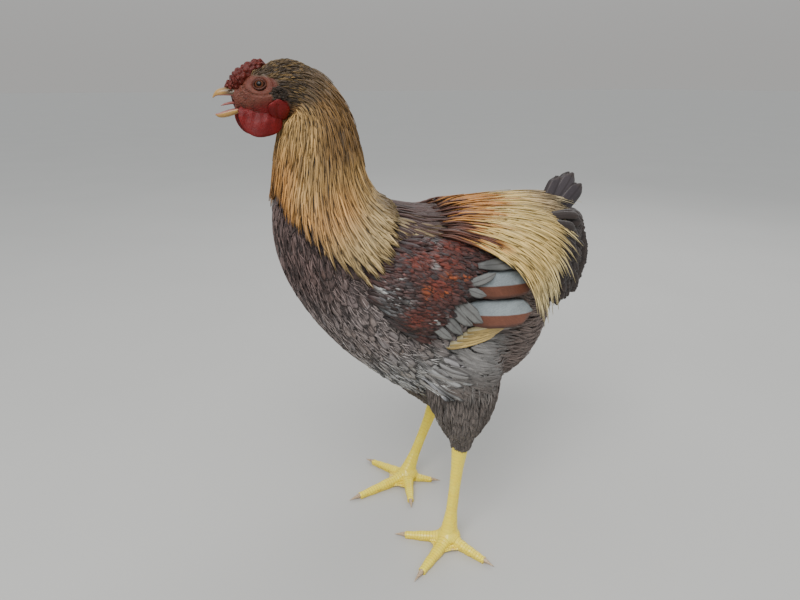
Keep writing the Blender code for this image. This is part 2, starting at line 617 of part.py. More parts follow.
# Saddle
def drape(t, s, forward, side):
    """Point of the saddle's drape: t runs from the ridge to the wing, s from the root to the tip."""
    t, s = np.broadcast_arrays(np.asarray(t, float), s)
    row = t * (len(SADDLE_ROOTS) - 1)
    root = spline_rows(SADDLE_ROOTS, row)
    start = lifted(root[..., 0] + forward, side * np.radians(root[..., 1]), SADDLE_LIFT)
    mirror = np.array((1.0, side, 1.0))
    bend, tip = spline_rows(SADDLE_BENDS, row) * mirror, spline_rows(SADDLE_TIPS, row) * mirror
    s = s[..., None]
    return (1 - s)**2 * start + 2 * s * (1 - s) * bend + s**2 * tip


def make_saddle(side):
    """Half of the saddle: a thin pad beside the ridge, and long pointed locks falling past the wing."""
    gold = finish("hackle_feathers")
    inner, outer = [], []
    across = np.linspace(0.0, 1.0, 6)
    angle = side * np.radians(np.interp(across, (0.0, 1.0), SADDLE_PAD_EDGES))
    for share in np.linspace(0.0, 1.0, 8):
        u = SADDLE_PAD_ENDS[0] + share * (SADDLE_PAD_ENDS[1] - SADDLE_PAD_ENDS[0])
        edge = np.minimum(np.sin(math.pi * np.clip(across, 0.03, 0.97))**0.5,
                          math.sqrt(math.sin(math.pi * min(max(share, 0.02), 0.98))))
        inner.append(lifted(u, angle, SADDLE_PAD_LIFT))
        outer.append(lifted(u, angle, SADDLE_PAD_LIFT + SADDLE_PAD_THIN + SADDLE_PAD_SWELL * edge))
    pad = sheet(sided("saddle", side), inner, outer, gold)
    locks = []
    for tier, (count, reach, forward, lift) in enumerate(SADDLE_TIERS):
        for k in range(count):
            t = (k + 0.5 * (tier % 2)) / (count - 1 + 0.5 * (tier % 2))
            s = LOCK_SHARE * reach
            centres = drape(t, s, forward, side)
            normals = np.cross(drape(t + 0.01, s, forward, side) - drape(t - 0.01, s, forward, side),
                               np.gradient(centres, axis=0)) * -side
            normals /= np.linalg.norm(normals, axis=-1, keepdims=True)
            centres = centres + normals * (lift * ease(LOCK_SHARE * 2))[:, None]
            locks.append(vane(f"lock_{tier}_{k}", centres, normals, SADDLE_LOCK_WIDTH * LOCK_WIDTH,
                              SADDLE_LOCK_THICKNESS, gold, side * 0.0006))
    return combine(pad, locks, "UNION")


# Tail
def make_tail():
    """Short tail: main feathers fanned in two leaning rows from a stub at the rump, and coverts over them."""
    black = finish("tail_feathers")
    end = skin_point(np.zeros(TRUNK_SIDES), np.arange(TRUNK_SIDES) * 2 * math.pi / TRUNK_SIDES)
    middle = end.mean(axis=0)
    back = np.cross(end[TRUNK_SIDES // 4] - middle, end[0] - middle)
    back /= np.linalg.norm(back) * np.sign(back[0])
    rings = [middle + (end - middle) * size + back * (GAP + reach)
             for size, reach in TAIL_STUB]
    core = loft("tail", rings, black)
    vanes = []
    for side in (-1, 1):
        for k, (x, y, z) in enumerate(TAIL_TIPS):
            lean = np.interp(k, (2, 3, 6), (0.0, 0.35, 0.9))
            root = np.array((TAIL_ROOT_X, side * (0.0015 + 0.0016 * max(k - 1, 0)), TAIL_ROOT_Z - 0.0055 * k))
            tip = np.array((x, side * y, z))
            bend = (root + tip) / 2 + np.array((0.010, 0.0, 0.004))
            vanes.append(tail_vane(f"main_{side}_{k}", root, bend, tip, TAIL_HALF_WIDTH, lean, side, black))
        for k, (x, y, z) in enumerate(COVERT_TIPS):
            low = 0.004 + 0.008 * k
            root = np.array((TAIL_ROOT_X - 0.001, side * (0.010 + 0.002 * k), TAIL_ROOT_Z - low))
            tip = np.array((x, side * y, z))
            bend = (root + tip) / 2 + np.array((0.006, side * 0.006, 0.006))
            vanes.append(tail_vane(f"covert_{side}_{k}", root, bend, tip, COVERT_HALF_WIDTH, 0.5, side,
                                   black))
    return combine(core, vanes, "UNION")


def tail_vane(name, root, bend, tip, half_width, lean, side, surface):
    """One broad feather of the tail on a bent line, its flat side leaning from upright to level."""
    s = FEATHER_SHARE[:, None]
    centres = (1 - s)**2 * root + 2 * s * (1 - s) * bend + s**2 * tip
    normals = np.tile((0.0, side * math.cos(lean), math.sin(lean)), (len(centres), 1))
    return vane(name, centres, normals, half_width * TAIL_WIDTH, FEATHER_THICKNESS, surface)


# Legs
def make_thigh(side):
    """Feathered drumstick down to the hock, cut to the trunk it grows from."""
    grey = finish("body_feathers")
    table = np.array(LEGS[side]["thigh"])
    turn = np.arange(14) * 2 * math.pi / 14
    rings = []
    for x, y, z, length, width in spline_rows(table, np.linspace(0.0, len(table) - 1.0, 11)):
        rings.append(np.stack((x + length * np.cos(turn), y + width * np.sin(turn), np.full(14, z)), axis=-1))
    thigh = loft(sided("thigh", side), rings, grey)
    trunk = skin_body("trunk", between(TAIL_CUT, NECK_CUT, TRUNK_RINGS), TRUNK_SIDES, grey, GAP)
    return combine(thigh, [trunk], "DIFFERENCE")


def make_shank(side):
    """Scaled shank from the hock to the ankle, with raised scutes down its front."""
    yellow = finish("leg_scales")
    leg = LEGS[side]
    top = np.array((*leg["hock"][:2], leg["hock"][2] - GAP))
    low = np.array((*leg["foot"], ANKLE_HEIGHT + GAP))
    share = np.repeat(np.linspace(0.0, 1.0, SCUTES + 1), 2)[1:-1]
    step = np.tile((1.0, 0.0), SCUTES)
    share = share + np.where(step == 0.0, -0.012, 0.0)
    girth = np.interp(share, SHANK_SHARE, SHANK_RADIUS)
    turn = np.arange(10) * 2 * math.pi / 10
    front = np.clip(-np.cos(turn), 0.0, 1.0)**0.5
    rings = []
    for s, radius, raised in zip(share, girth, step):
        centre = top + (low - top) * s
        reach = radius * (1 + SCUTE_RELIEF * (raised - 0.5) * front)
        x, y = centre[0] + reach * 1.06 * np.cos(turn), centre[1] + reach * 0.92 * np.sin(turn)
        rings.append(np.stack((x, y, np.full(10, centre[2])), axis=-1))
    return loft(sided("shank", side), rings, yellow)


def toe_line(side, k):
    """Ground plan of a toe: its start, the place where the claw begins, and the claw's tip."""
    foot = np.array(LEGS[side]["foot"])
    reach = np.array(TOES[side][k])
    length = np.linalg.norm(reach)
    return foot + reach / length * 0.004, foot + reach * (1 - CLAW_LENGTHS[k] / length), foot + reach


def make_foot(side):
    """Foot on four spread toes with flat soles, scutes on each toe, and small webs between the front ones."""
    yellow = finish("leg_scales")
    x, y = LEGS[side]["foot"]
    stub = tube(sided("foot", side), ((x, y, 0.006), (x, y, 0.014), (x, y, ANKLE_HEIGHT)),
                (0.0105, 0.0102, 0.0090), yellow, 12, 1.0, (1.0, 0.0, 0.0))
    pieces = [ball("heel", (x, y, 0.0085), (0.0125, 0.0125, 0.0100), yellow, 12, 8)]
    ends = []
    for k in range(4):
        start, end, _ = toe_line(side, k)
        scutes = max(3, int(np.linalg.norm(end - start) / TOE_PLATE))
        share = np.repeat(np.linspace(0.0, 1.0, scutes + 1), 2)[1:-1]
        raised = np.tile((0.0, 1.0), scutes)
        share = share + np.where(raised == 1.0, -0.012, 0.0)
        knuckles = 1 + 0.06 * np.sin(share * math.pi * (1.5 + k))
        radius = (TOE_ROOTS[k] * (1 - 0.46 * share)) * knuckles * (1 + 0.05 * (raised - 0.5))
        plan = start + (end - start) * share[:, None]
        height = radius * 0.80 - TOE_SINK + 0.0032 * (1 - ease(share * 4)) * (k > 0)
        pieces.append(tube(f"toe_{k}", np.column_stack((plan, height)), radius, yellow, 8))
        ends.append((start, end))
    for k in (1, 2):
        pieces.append(web(side, ends[k], ends[k + 1], yellow))
    foot = combine(stub, pieces, "UNION")
    bm = bmesh.new()
    block = 0.4
    bmesh.ops.create_cube(bm, size=block)
    bmesh.ops.translate(bm, vec=(x, y, -block / 2), verts=bm.verts)
    return combine(foot, [place_mesh("floor", bm, yellow)], "DIFFERENCE")


def web(side, one, other, surface):
    """Skin between two toes: a thin plate with a hollow free edge."""
    heel = (one[0] + other[0]) / 2
    edge_a, edge_b = (start + (end - start) * 0.46 for start, end in (one, other))
    fold = (edge_a + edge_b) / 2 * 0.55 + heel * 0.45
    outline = np.array((heel, edge_a, fold, edge_b))
    rings = [np.column_stack((outline, np.full(4, z))) for z in (WEB_LOW, WEB_TOP)]
    return loft("web", rings, surface)


def make_claw(side, k):
    """Curved claw, bent down to just clear of the floor."""
    pale = finish("claw")
    _, end, tip = toe_line(side, k)
    way = (tip - end) / np.linalg.norm(tip - end)
    start = end + way * GAP
    share = np.linspace(0.0, 1.0, 5)
    radius = TOE_ROOTS[k] * 0.46 * (1 - share * 0.92)
    height = TOE_ROOTS[k] * 0.54 * 0.80 + TOE_SINK + (0.0016 - TOE_ROOTS[k] * 0.43) * share**2
    path = np.column_stack((start + (tip - start) * share[:, None], np.maximum(height, radius + 0.0002)))
    return tube(sided(f"claw_{TOE_NAMES[k]}", side), path, radius, pale, 6, pointed=True)


def centre_on_floor():
    """Moves every mesh so that the origin is under the middle of the bird's box."""
    meshes = [made.data for made in bpy.data.objects]
    corners = np.array([vert.co for mesh in meshes for vert in mesh.vertices])
    middle = (corners.min(axis=0) + corners.max(axis=0)) / 2
    for mesh in meshes:
        mesh.transform(Matrix.Translation((-middle[0], -middle[1], 0.0)))


def build():
    """Clears the scene and makes every piece."""
    for old in list(bpy.data.objects):
        bpy.data.objects.remove(old)
    for make in (make_torso, make_neck, make_head, make_comb, make_beak_upper, make_beak_lower, make_tongue,
                 make_tail):
        make()
    for side in (-1, 1):
        for make in (make_eye, make_wattle, make_earlobe, make_wing, make_saddle, make_thigh, make_shank,
                     make_foot):
            make(side)
        for k in range(4):
            make_claw(side, k)
    centre_on_floor()


build()
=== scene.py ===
"""Looks of a life-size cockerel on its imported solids: skin, feathers, head, legs, floor, light and camera.

The trunk, neck and head share one formula. A place on it has a station along the body, from the rump to the
beak, an angle from the ridge of the back (minus on the left side) and a lift off it. Every feather is a
thin closed blade whose centre line runs over that formula, so that it follows the lie of the coat.
"""
import math

import bpy
import numpy as np
from bpy.props import FloatProperty, FloatVectorProperty, IntProperty
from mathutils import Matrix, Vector


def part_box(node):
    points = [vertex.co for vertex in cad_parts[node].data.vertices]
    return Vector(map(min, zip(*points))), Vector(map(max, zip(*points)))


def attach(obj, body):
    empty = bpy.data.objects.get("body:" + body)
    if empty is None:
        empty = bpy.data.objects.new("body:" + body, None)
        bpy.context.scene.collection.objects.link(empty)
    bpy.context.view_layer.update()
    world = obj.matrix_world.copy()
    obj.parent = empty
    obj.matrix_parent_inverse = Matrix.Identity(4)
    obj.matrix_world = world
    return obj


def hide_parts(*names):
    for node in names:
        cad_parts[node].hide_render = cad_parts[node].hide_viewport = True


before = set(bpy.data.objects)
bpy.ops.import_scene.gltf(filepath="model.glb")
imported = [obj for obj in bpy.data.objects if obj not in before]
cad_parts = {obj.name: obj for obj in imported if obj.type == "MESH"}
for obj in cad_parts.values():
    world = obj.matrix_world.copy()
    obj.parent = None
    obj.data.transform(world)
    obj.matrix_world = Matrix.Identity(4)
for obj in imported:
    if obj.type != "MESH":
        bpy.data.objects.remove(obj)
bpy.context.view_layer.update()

bl_info = {
    "name": "Standing cockerel",
    "version": (1, 0, 0),
    "blender": (4, 5, 0),
    "location": "View3D > Sidebar > Cockerel",
    "description": "Dresses the solids of a life-size cockerel in skin, feathers, flesh and scales",
    "category": "Object",
}

STEP = 1e-3
# Rows of the body's unwrap, and the size of one feather's patch on it
BODY_ROWS = 22.0
BAKE_PATCH = 0.003
# Angle from the ridge at which the rows of feathers are spaced
TRACT_ANGLE = 2.0
SIDE_NAMES = {-1: "left", 1: "right"}

# The body's formula: ridge x and z, keel x and z, half width, and how far the width leans to the ridge
STATIONS = np.array((
    (0.126, 0.338, 0.133, 0.284, 0.024, 0.1), (0.115, 0.347, 0.134, 0.238, 0.044, 0.08),
    (0.093, 0.353, 0.12, 0.197, 0.059, 0.08), (0.066, 0.357, 0.093, 0.169, 0.069, 0.1),
    (0.036, 0.359, 0.05, 0.157, 0.076, 0.12), (0.006, 0.36, 0.008, 0.153, 0.08, 0.1),
    (-0.02, 0.363, -0.032, 0.171, 0.081, 0.06), (-0.038, 0.368, -0.066, 0.198, 0.08, 0.02),
    (-0.049, 0.372, -0.099, 0.23, 0.077, -0.02), (-0.056, 0.376, -0.127, 0.267, 0.07, -0.04),
    (-0.061, 0.382, -0.146, 0.305, 0.061, -0.06), (-0.066, 0.391, -0.154, 0.341, 0.051, -0.06),
    (-0.071, 0.404, -0.153, 0.37, 0.043, -0.04), (-0.074, 0.42, -0.148, 0.396, 0.038, 0.0),
    (-0.078, 0.437, -0.142, 0.418, 0.033, 0.0), (-0.084, 0.455, -0.137, 0.436, 0.028, 0.0),
    (-0.095, 0.473, -0.135, 0.447, 0.023, 0.0), (-0.112, 0.488, -0.137, 0.451, 0.019, 0.0),
    (-0.134, 0.496, -0.146, 0.449, 0.0185, 0.04), (-0.154, 0.492, -0.158, 0.4485, 0.0175, 0.04),
    (-0.17, 0.4825, -0.169, 0.4515, 0.014, 0.0), (-0.18, 0.475, -0.177, 0.456, 0.0095, 0.0),
    (-0.19, 0.4765, -0.186, 0.458, 0.006, 0.0),
))
ROUNDNESS = 0.9
# Thigh rings of each side: x, y, z, half length and half width, from the trunk down to the hock
THIGHS = {
    -1: np.array(((0.014, -0.046, 0.24, 0.038, 0.03), (0.015, -0.057, 0.206, 0.041, 0.031),
                  (0.013, -0.063, 0.174, 0.036, 0.03), (0.012, -0.066, 0.148, 0.0245, 0.023),
                  (0.0115, -0.066, 0.131, 0.014, 0.0135), (0.0115, -0.066, 0.12, 0.0098, 0.0094))),
    1: np.array(((0.0, 0.046, 0.226, 0.038, 0.03), (0.008, 0.055, 0.19, 0.042, 0.031),
                 (0.016, 0.06, 0.156, 0.04, 0.029), (0.027, 0.064, 0.127, 0.029, 0.022),
                 (0.038, 0.066, 0.106, 0.0175, 0.014), (0.047, 0.066, 0.092, 0.0105, 0.0098))),
}
FEET = {-1: (-0.001, -0.069), 1: (0.001, 0.051)}
# Toes from the hind one round by the inner side: tip of the claw in plan, from the foot's centre
TOES = {
    -1: ((0.019, 0.035), (-0.052, 0.031), (-0.059, -0.04), (0.026, -0.054)),
    1: ((0.036, -0.022), (-0.019, -0.056), (-0.083, -0.015), (-0.036, 0.058)),
}
TOE_NAMES = ("hind", "inner", "middle", "outer")
TOE_ROOTS = (0.0056, 0.0068, 0.0073, 0.0064)
CLAW_LENGTHS = (0.011, 0.012, 0.014, 0.012)
# Share by which a toe thins to its claw, and share of the toes that the webs reach
TOE_TAPER = 0.46
HEEL_SIZE = (0.0128, 0.0128, 0.0098)
WEB_REACH = 0.48
SHANK_AT = (0.0, 0.07, 0.14, 0.28, 0.5, 0.75, 0.9, 1.0)
SHANK_GIRTH = (0.0088, 0.0087, 0.008, 0.0065, 0.0057, 0.006, 0.008, 0.0098)
# Lengths of the plates on shank and toes, what each line after the shank's adds to the run, and a run
# between those of the shank and of the first toe
SHANK_PLATE, TOE_PLATE, LINE_STEP, TOE_RUN = 0.0044, 0.0033, 0.3, 0.29
EYE_RADIUS = 0.0052
EYE_PLACE = (-0.162, 0.4775)
EAR_PLACE = (-0.1495, 0.47)
COMB_REAR, COMB_FRONT = 18.9, 21.8


# Numbers and grids
def ease(t):
    """Smooth step from 0 to 1."""
    t = np.clip(t, 0.0, 1.0)
    return t * t * (3 - 2 * t)


def hump(t):
    """Smooth bump of height one at 0 that is gone at -1 and 1."""
    return ease(1 - np.abs(t))


def unit(v):
    """Vectors scaled to length one."""
    return v / np.maximum(np.linalg.norm(v, axis=-1, keepdims=True), 1e-12)


def around(count):
    """Angles of even steps round a full turn."""
    return np.arange(count) * 2 * math.pi / count


def grid(low, high, rows, count):
    """Two parameters of a tube: rows even steps from low to high, by count even steps round a full turn."""
    return np.meshgrid(np.linspace(low, high, rows), around(count), indexing="ij")


def run_along(path):
    """Distance along a line of points at each of them."""
    return np.append(0.0, np.cumsum(np.linalg.norm(np.diff(path, axis=0), axis=-1)))


def arc(start, bend, end, s):
    """Bent line: (1-s)^2 times its start plus 2s(1-s) times its bend plus s^2 times its end."""
    return (1 - s)**2 * start + 2 * s * (1 - s) * bend + s**2 * end


def signed_power(v, power):
    """A power of the size of v, with the sign of v."""
    return np.sign(v) * np.abs(v)**power


# Places on the body
def rows_at(table, t):
    """Rows of a table at fractional row numbers, on a Catmull-Rom curve that runs straight past its ends."""
    t = np.asarray(t, float)
    held = np.clip(t, 0.0, len(table) - 1.0)
    padded = np.vstack((2 * table[0] - table[1], table, 2 * table[-1] - table[-2]))
    i = np.minimum(held.astype(int), len(table) - 2)
    f = (held - i)[..., None]
    a, b, c, d = (padded[i + k] for k in range(4))
    row = 0.5 * (2 * b + (c - a) * f + (2 * a - 5 * b + 4 * c - d) * f**2 + (3 * b - a - 3 * c + d) * f**3)
    over = (t - held)[..., None]
    return row + over * np.where(over < 0, table[1] - table[0], table[-1] - table[-2])


def trunk(u, angle):
    """Point at station u and an angle from the ridge: a rounded oval between the ridge and the keel."""
    row = rows_at(STATIONS, u)
    c, s = signed_power(np.cos(angle), ROUNDNESS), signed_power(np.sin(angle), ROUNDNESS)
    middle, reach = (row[..., 0:2] + row[..., 2:4]) / 2, (row[..., 0:2] - row[..., 2:4]) / 2
    x = middle[..., 0] + reach[..., 0] * c
    z = middle[..., 1] + reach[..., 1] * c
    y = np.maximum(row[..., 4], 0.0015) * s * (1 + row[..., 5] * c)
    return np.stack((x, y, z), axis=-1)


def thigh(side):
    """The thigh's formula: an oval ring at row v of its table, turned from the front round to the back."""
    def point(v, turn):
        row = rows_at(THIGHS[side], v)
        x = row[..., 0] - row[..., 3] * np.cos(turn)
        y = row[..., 1] + side * row[..., 4] * np.sin(turn)
        return np.stack((x, y, row[..., 2]), axis=-1)
    return point


def outward(ground, p, q):
    """Outward normal of a formula, square to its two tangents, on the side away from the ring's middle."""
    along = ground(p + STEP, q) - ground(p - STEP, q)
    across = ground(p, q + STEP) - ground(p, q - STEP)
    normal = unit(np.cross(across, along))
    middle = (ground(p, q) + ground(p, q + math.pi)) / 2
    side = np.sign(((ground(p, q) - middle) * normal).sum(axis=-1, keepdims=True))
    return normal * np.where(side == 0, 1.0, side)


def lifted(ground, p, q, lift):
    """Point at a height above a formula."""
    p, q, lift = np.broadcast_arrays(np.asarray(p, float), q, lift)
    return ground(p, q) + outward(ground, p, q) * lift[..., None]


def trunk_at(x, z, side):
    """Station and angle of the trunk at a place in the side view, on the side -1 (left) or 1."""
    place = np.stack(np.broadcast_arrays(np.asarray(x, float), z), axis=-1)[..., None, :]
    u = np.linspace(0.0, len(STATIONS) - 1.0, 900)
    row = rows_at(STATIONS, u)
    ridge, span = row[:, 0:2], row[:, 2:4] - row[:, 0:2]
    away = place - ridge
    length = np.linalg.norm(span, axis=-1)
    off = (span[:, 0] * away[..., 1] - span[:, 1] * away[..., 0]) / length
    share = (away * span).sum(axis=-1) / length**2
    best = np.argmin(np.abs(off) + np.where((share < -0.05) | (share > 1.05), 1.0, 0.0), axis=-1)
    share = np.take_along_axis(share, best[..., None], axis=-1)[..., 0]
    c = np.clip(1 - 2 * share, -1.0, 1.0)
    return u[best], side * np.arccos(signed_power(c, 1 / ROUNDNESS))


def eye_place(side):
    """Centre of the eye, sunk in the head by two thirds of its radius, and the way it looks."""
    u, angle = trunk_at(*EYE_PLACE, side)
    way = outward(trunk, u, angle)
    return lifted(trunk, u, angle, -EYE_RADIUS * 0.62), way


SHIFT = (np.array(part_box("eye_left")[0]) + np.array(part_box("eye_left")[1])) / 2 - eye_place(-1)[0]


# Settings
def colour(name, description, value):
    """A colour setting, in linear light."""
    return FloatVectorProperty(name=name, description=description, subtype="COLOR", size=3, min=0.0, max=1.0,
                               default=value)


def length(name, description, value):
    """A length setting, in metres."""
    return FloatProperty(name=name, description=description, subtype="DISTANCE", unit="LENGTH", default=value)


class PlumageSettings(bpy.types.PropertyGroup):
    """Sizes of the feathers."""
    coat_depth: length("Coat depth", "How far the skin lies under the tips of the body feathers", 0.0045)
    breast_length: length("Breast feather length", "Length of a body feather on the breast", 0.03)
    breast_width: length("Breast feather width", "Full width of a body feather on the breast", 0.0125)
    hackle_width: length("Hackle width", "Full width of a neck feather", 0.0034)
    saddle_width: length("Saddle width", "Full width of a saddle feather", 0.0032)
    tail_width: length("Tail feather width", "Full width of a main tail feather", 0.02)
    fluff_count: IntProperty(name="Down", description="Tufts of down on belly and rump", default=5400, min=100)
    strand_count: IntProperty(name="Strands", description="Fine strands over the body", default=11000, min=100)
    thigh_count: IntProperty(name="Thigh down", description="Down tufts on each thigh", default=2600, min=100)
    seed: IntProperty(name="Seed", description="Start of the random draws", default=7, min=0)


class PlumageColours(bpy.types.PropertyGroup):
    """Colours of the feathers."""
    breast: colour("Breast", "Upper breast", (0.103, 0.069, 0.062))
    breast_edge: colour("Breast edge", "Edge of the upper breast feathers", (0.07, 0.047, 0.042))
    belly: colour("Belly", "Lower breast", (0.202, 0.168, 0.157))
    flank: colour("Flank", "Flank", (0.365, 0.36, 0.348))
    flank_edge: colour("Flank edge", "Dark edge of the flank feathers", (0.048, 0.042, 0.041))
    silver: colour("Silver", "Pale soft feathers behind the flank", (0.255, 0.242, 0.228))
    fluff: colour("Fluff", "Down under the tail", (0.185, 0.14, 0.122))
    back: colour("Back", "Back between cape and saddle", (0.055, 0.03, 0.026))
    back_edge: colour("Back edge", "Edge of the back feathers", (0.13, 0.08, 0.062))
    thigh: colour("Thigh", "Small feathers above the hock", (0.122, 0.101, 0.088))
    straw: colour("Straw", "Neck feathers", (0.44, 0.27, 0.095))
    straw_pale: colour("Pale straw", "Ends of the neck feathers", (0.44, 0.325, 0.155))
    gold: colour("Gold", "Front edge of the neck and roots of the saddle", (0.43, 0.18, 0.04))
    umber: colour("Umber", "Dark streaks of the crown and neck", (0.06, 0.038, 0.022))
    saddle: colour("Saddle", "Saddle feathers", (0.6, 0.425, 0.15))
    saddle_pale: colour("Pale saddle", "Ends of the saddle feathers near the tail", (0.8, 0.69, 0.39))
    maroon: colour("Maroon", "Shoulder of the wing", (0.062, 0.026, 0.022))
    rust: colour("Rust", "Red patches on the shoulder", (0.15, 0.034, 0.022))
    ember: colour("Ember", "Orange flecks on the shoulder", (0.3, 0.075, 0.024))
    slate: colour("Slate", "Upper vanes of the wing", (0.3, 0.338, 0.35))
    covert: colour("Covert", "Small grey feathers over the wing", (0.185, 0.185, 0.175))
    chestnut: colour("Chestnut", "Lower vanes of the wing", (0.17, 0.062, 0.036))
    soot: colour("Soot", "Tail", (0.031, 0.022, 0.019))
    soot_edge: colour("Soot edge", "Edge of the tail feathers", (0.068, 0.052, 0.045))
    # violet_sheen: painted sheen, a lighter violet that the upper row of tail feathers takes in place of the
    # soot
    violet_sheen: colour("Violet", "Upper tail", (0.049, 0.041, 0.046))


class FleshColours(bpy.types.PropertyGroup):
    """Colours of bare skin, horn, scales and eye."""
    face: colour("Face", "Bare face", (0.13, 0.027, 0.014))
    lid: colour("Lid", "Rims of the eyelids", (0.085, 0.022, 0.014))
    comb: colour("Comb", "Comb", (0.12, 0.015, 0.01))
    wattle: colour("Wattle", "Wattles and earlobes", (0.17, 0.0045, 0.0045))
    mouth: colour("Mouth", "Inside of the mouth", (0.33, 0.11, 0.09))
    horn_dark: colour("Dark horn", "Root of the beak", (0.08, 0.048, 0.024))
    horn: colour("Horn", "Tip of the beak and its lower half", (0.4, 0.225, 0.06))
    leg: colour("Leg", "Shanks and toes", (1.0, 0.79, 0.045))
    leg_shade: colour("Leg shade", "Grooves between the scales", (0.42, 0.21, 0.02))
    web: colour("Web", "Skin between the toes", (0.8, 0.56, 0.23))
    claw: colour("Claw", "Claws", (0.52, 0.37, 0.23))
    iris: colour("Iris", "Iris", (0.105, 0.032, 0.011))


class StageSettings(bpy.types.PropertyGroup):
    """Floor, light and camera."""
    floor: colour("Floor", "Colour of the floor", (0.5, 0.49, 0.465))
    key: FloatProperty(name="Key light", description="Power of the main light", subtype="POWER", default=42.0)
    rim: FloatProperty(name="Rim light", description="Power of the rear light", subtype="POWER", default=10.0)
    sky: FloatProperty(name="Sky", description="Strength of the light from above", default=0.95)
    horizon: FloatProperty(name="Horizon", description="Brightness of the horizon to the sky's", default=0.45)
    eye_height: length("Camera height", "Height of the camera over the floor", 0.48)
    pitch: FloatProperty(name="Pitch", description="How far the camera looks down", subtype="ANGLE",
                         default=math.radians(20.0))
    azimuth: FloatProperty(name="Azimuth", description="Turn of the camera about the bird", subtype="ANGLE",
                           default=math.radians(-22.5))
    lens: FloatProperty(name="Lens", description="Focal length on a 36 mm sensor", subtype="DISTANCE_CAMERA",
                        default=27.09)


def plumage():
    """Sizes of the feathers."""
    return bpy.context.scene.cockerel_plumage


def paint(name):
    """One of the feathers' colours as an array."""
    return np.array(getattr(bpy.context.scene.cockerel_colours, name))


def flesh(name):
    """One of the colours of skin, horn and scales as an array."""
    return np.array(getattr(bpy.context.scene.cockerel_flesh, name))


def draws(number):
    """Random draws of one piece."""
    return np.random.default_rng(plumage().seed + number)


def spread(rng, amount, *shape):
    """Random numbers about zero with a given spread."""
    return amount * rng.standard_normal(shape)


def varied(rng, amount, *shape):
    """Random factors about one, held within two spreads."""
    return 1 + amount * rng.standard_normal(shape).clip(-2, 2)


# Making meshes
def placed(name, data):
    """A new object in the scene."""
    made = bpy.data.objects.new(name, data)
    bpy.context.scene.collection.objects.link(made)
    return made


def mark(mesh, values):
    """Keeps named numbers or colours for each point as attributes of a mesh."""
    for label, numbers in values.items():
        numbers = np.asarray(numbers, np.float32)
        kind, key = ("FLOAT_COLOR", "color") if numbers.ndim == 2 else ("FLOAT", "value")
        if numbers.ndim == 2:
            numbers = np.column_stack((numbers, np.ones(len(numbers), np.float32)))
        mesh.attributes.new(label, kind, "POINT").data.foreach_set(key, numbers.ravel())


def point_values(mesh, key="co"):
    """Places or normals of a mesh's points."""
    values = np.empty(len(mesh.vertices) * 3, np.float32)
    mesh.vertices.foreach_get(key, values)
    return values.reshape(-1, 3).astype(float)


def put(name, points, quads, values=None, triangles=np.empty((0, 3), int), maps=None):
    """A mesh object from arrays, moved to the frame, its faces turned outwards by the sign of its volume.

    values holds named numbers or colours for each point, and maps named places on a map for each point.
    """
    points = np.asarray(points, float).reshape(-1, 3) + SHIFT
    a, b, c, d = (points[quads[:, k]] - points.mean(axis=0) for k in range(4))
    if (a * np.cross(b, c)).sum() + (a * np.cross(c, d)).sum() < 0:
        quads, triangles = quads[:, ::-1], triangles[:, ::-1]
    mesh = bpy.data.meshes.new(name)
    mesh.from_pydata(points, [], quads.tolist() + triangles.tolist())
    corners = np.empty(len(mesh.loops), np.int32)
    mesh.loops.foreach_get("vertex_index", corners)
    for label, places in (maps or {}).items():
        mesh.uv_layers.new(name=label).data.foreach_set("uv", np.asarray(places, np.float32)[corners].ravel())
    mark(mesh, values or {})
    mesh.shade_smooth()
    return placed(name, mesh)


def ring_faces(rows, count, closed=False):
    """Quads between successive rings, where point number is row times count plus place. Where closed, the
    last ring is also joined to the first.
    """
    row, place = np.meshgrid(np.arange(rows - 1 + closed), np.arange(count), indexing="ij")
    here, there = row * count + place, row * count + (place + 1) % count
    return np.stack((here, there, there + count, here + count), axis=-1).reshape(-1, 4) % (rows * count)


def loft(name, rings, values=None):
    """A closed body through rings of points; each end is drawn together into a point at its middle.

    rings is an array of rows by places by 3, and values one of rows by places for each name.
    """
    rows, count = rings.shape[:2]
    ends = np.stack((rings[0].mean(axis=0), rings[-1].mean(axis=0)))
    place = np.arange(count)
    after, last = (place + 1) % count, (rows - 1) * count
    caps = np.vstack((np.column_stack((np.full(count, rows * count), after, place)),
                      np.column_stack((np.full(count, rows * count + 1), last + place, last + after))))
    fitted = {label: np.concatenate((numbers.ravel(), numbers[:1].mean(axis=1), numbers[-1:].mean(axis=1)))
              for label, numbers in (values or {}).items()}
    return put(name, np.vstack((rings.reshape(-1, 3), ends)), ring_faces(rows, count), fitted, caps)


# Feathers' cuts: share of the half width at each row, places of the rows along, and of columns across
LEAF, LEAF_AT = (0.45, 0.88, 1.0, 0.96, 0.78, 0.4), np.array((0.0, 0.28, 0.58, 0.78, 0.91, 1.0))
WISP, WISP_AT = (0.55, 1.0, 0.85, 0.55, 0.12), np.linspace(0.0, 1.0, 5)
LANCE, LANCE_AT = (0.62, 0.86, 1.0, 1.0, 0.92, 0.74, 0.45, 0.06), np.linspace(0.0, 1.0, 8)
BLADE = (0.55, 0.86, 1.0, 1.0, 0.98, 0.9, 0.7, 0.34)
BLADE_AT = np.array((0.0, 0.15, 0.35, 0.58, 0.76, 0.88, 0.96, 1.0))
LEAF_BLADE = (0.4, 0.7, 0.96, 1.0, 0.9, 0.74, 0.5, 0.16)
TAIL_BLADE = (0.55, 0.86, 1.0, 1.0, 1.0, 0.95, 0.8, 0.52)
SHORT = (0.7, 1.0, 0.95, 0.65, 0.1)
BRISTLE, BRISTLE_AT = (1.0, 0.9, 0.6, 0.1), np.linspace(0.0, 1.0, 4)
THREE = (-1.0, 0.0, 1.0)
FIVE = (-1.0, -0.5, 0.0, 0.5, 1.0)
SEVEN = (-1.0, -0.72, -0.36, 0.0, 0.36, 0.72, 1.0)
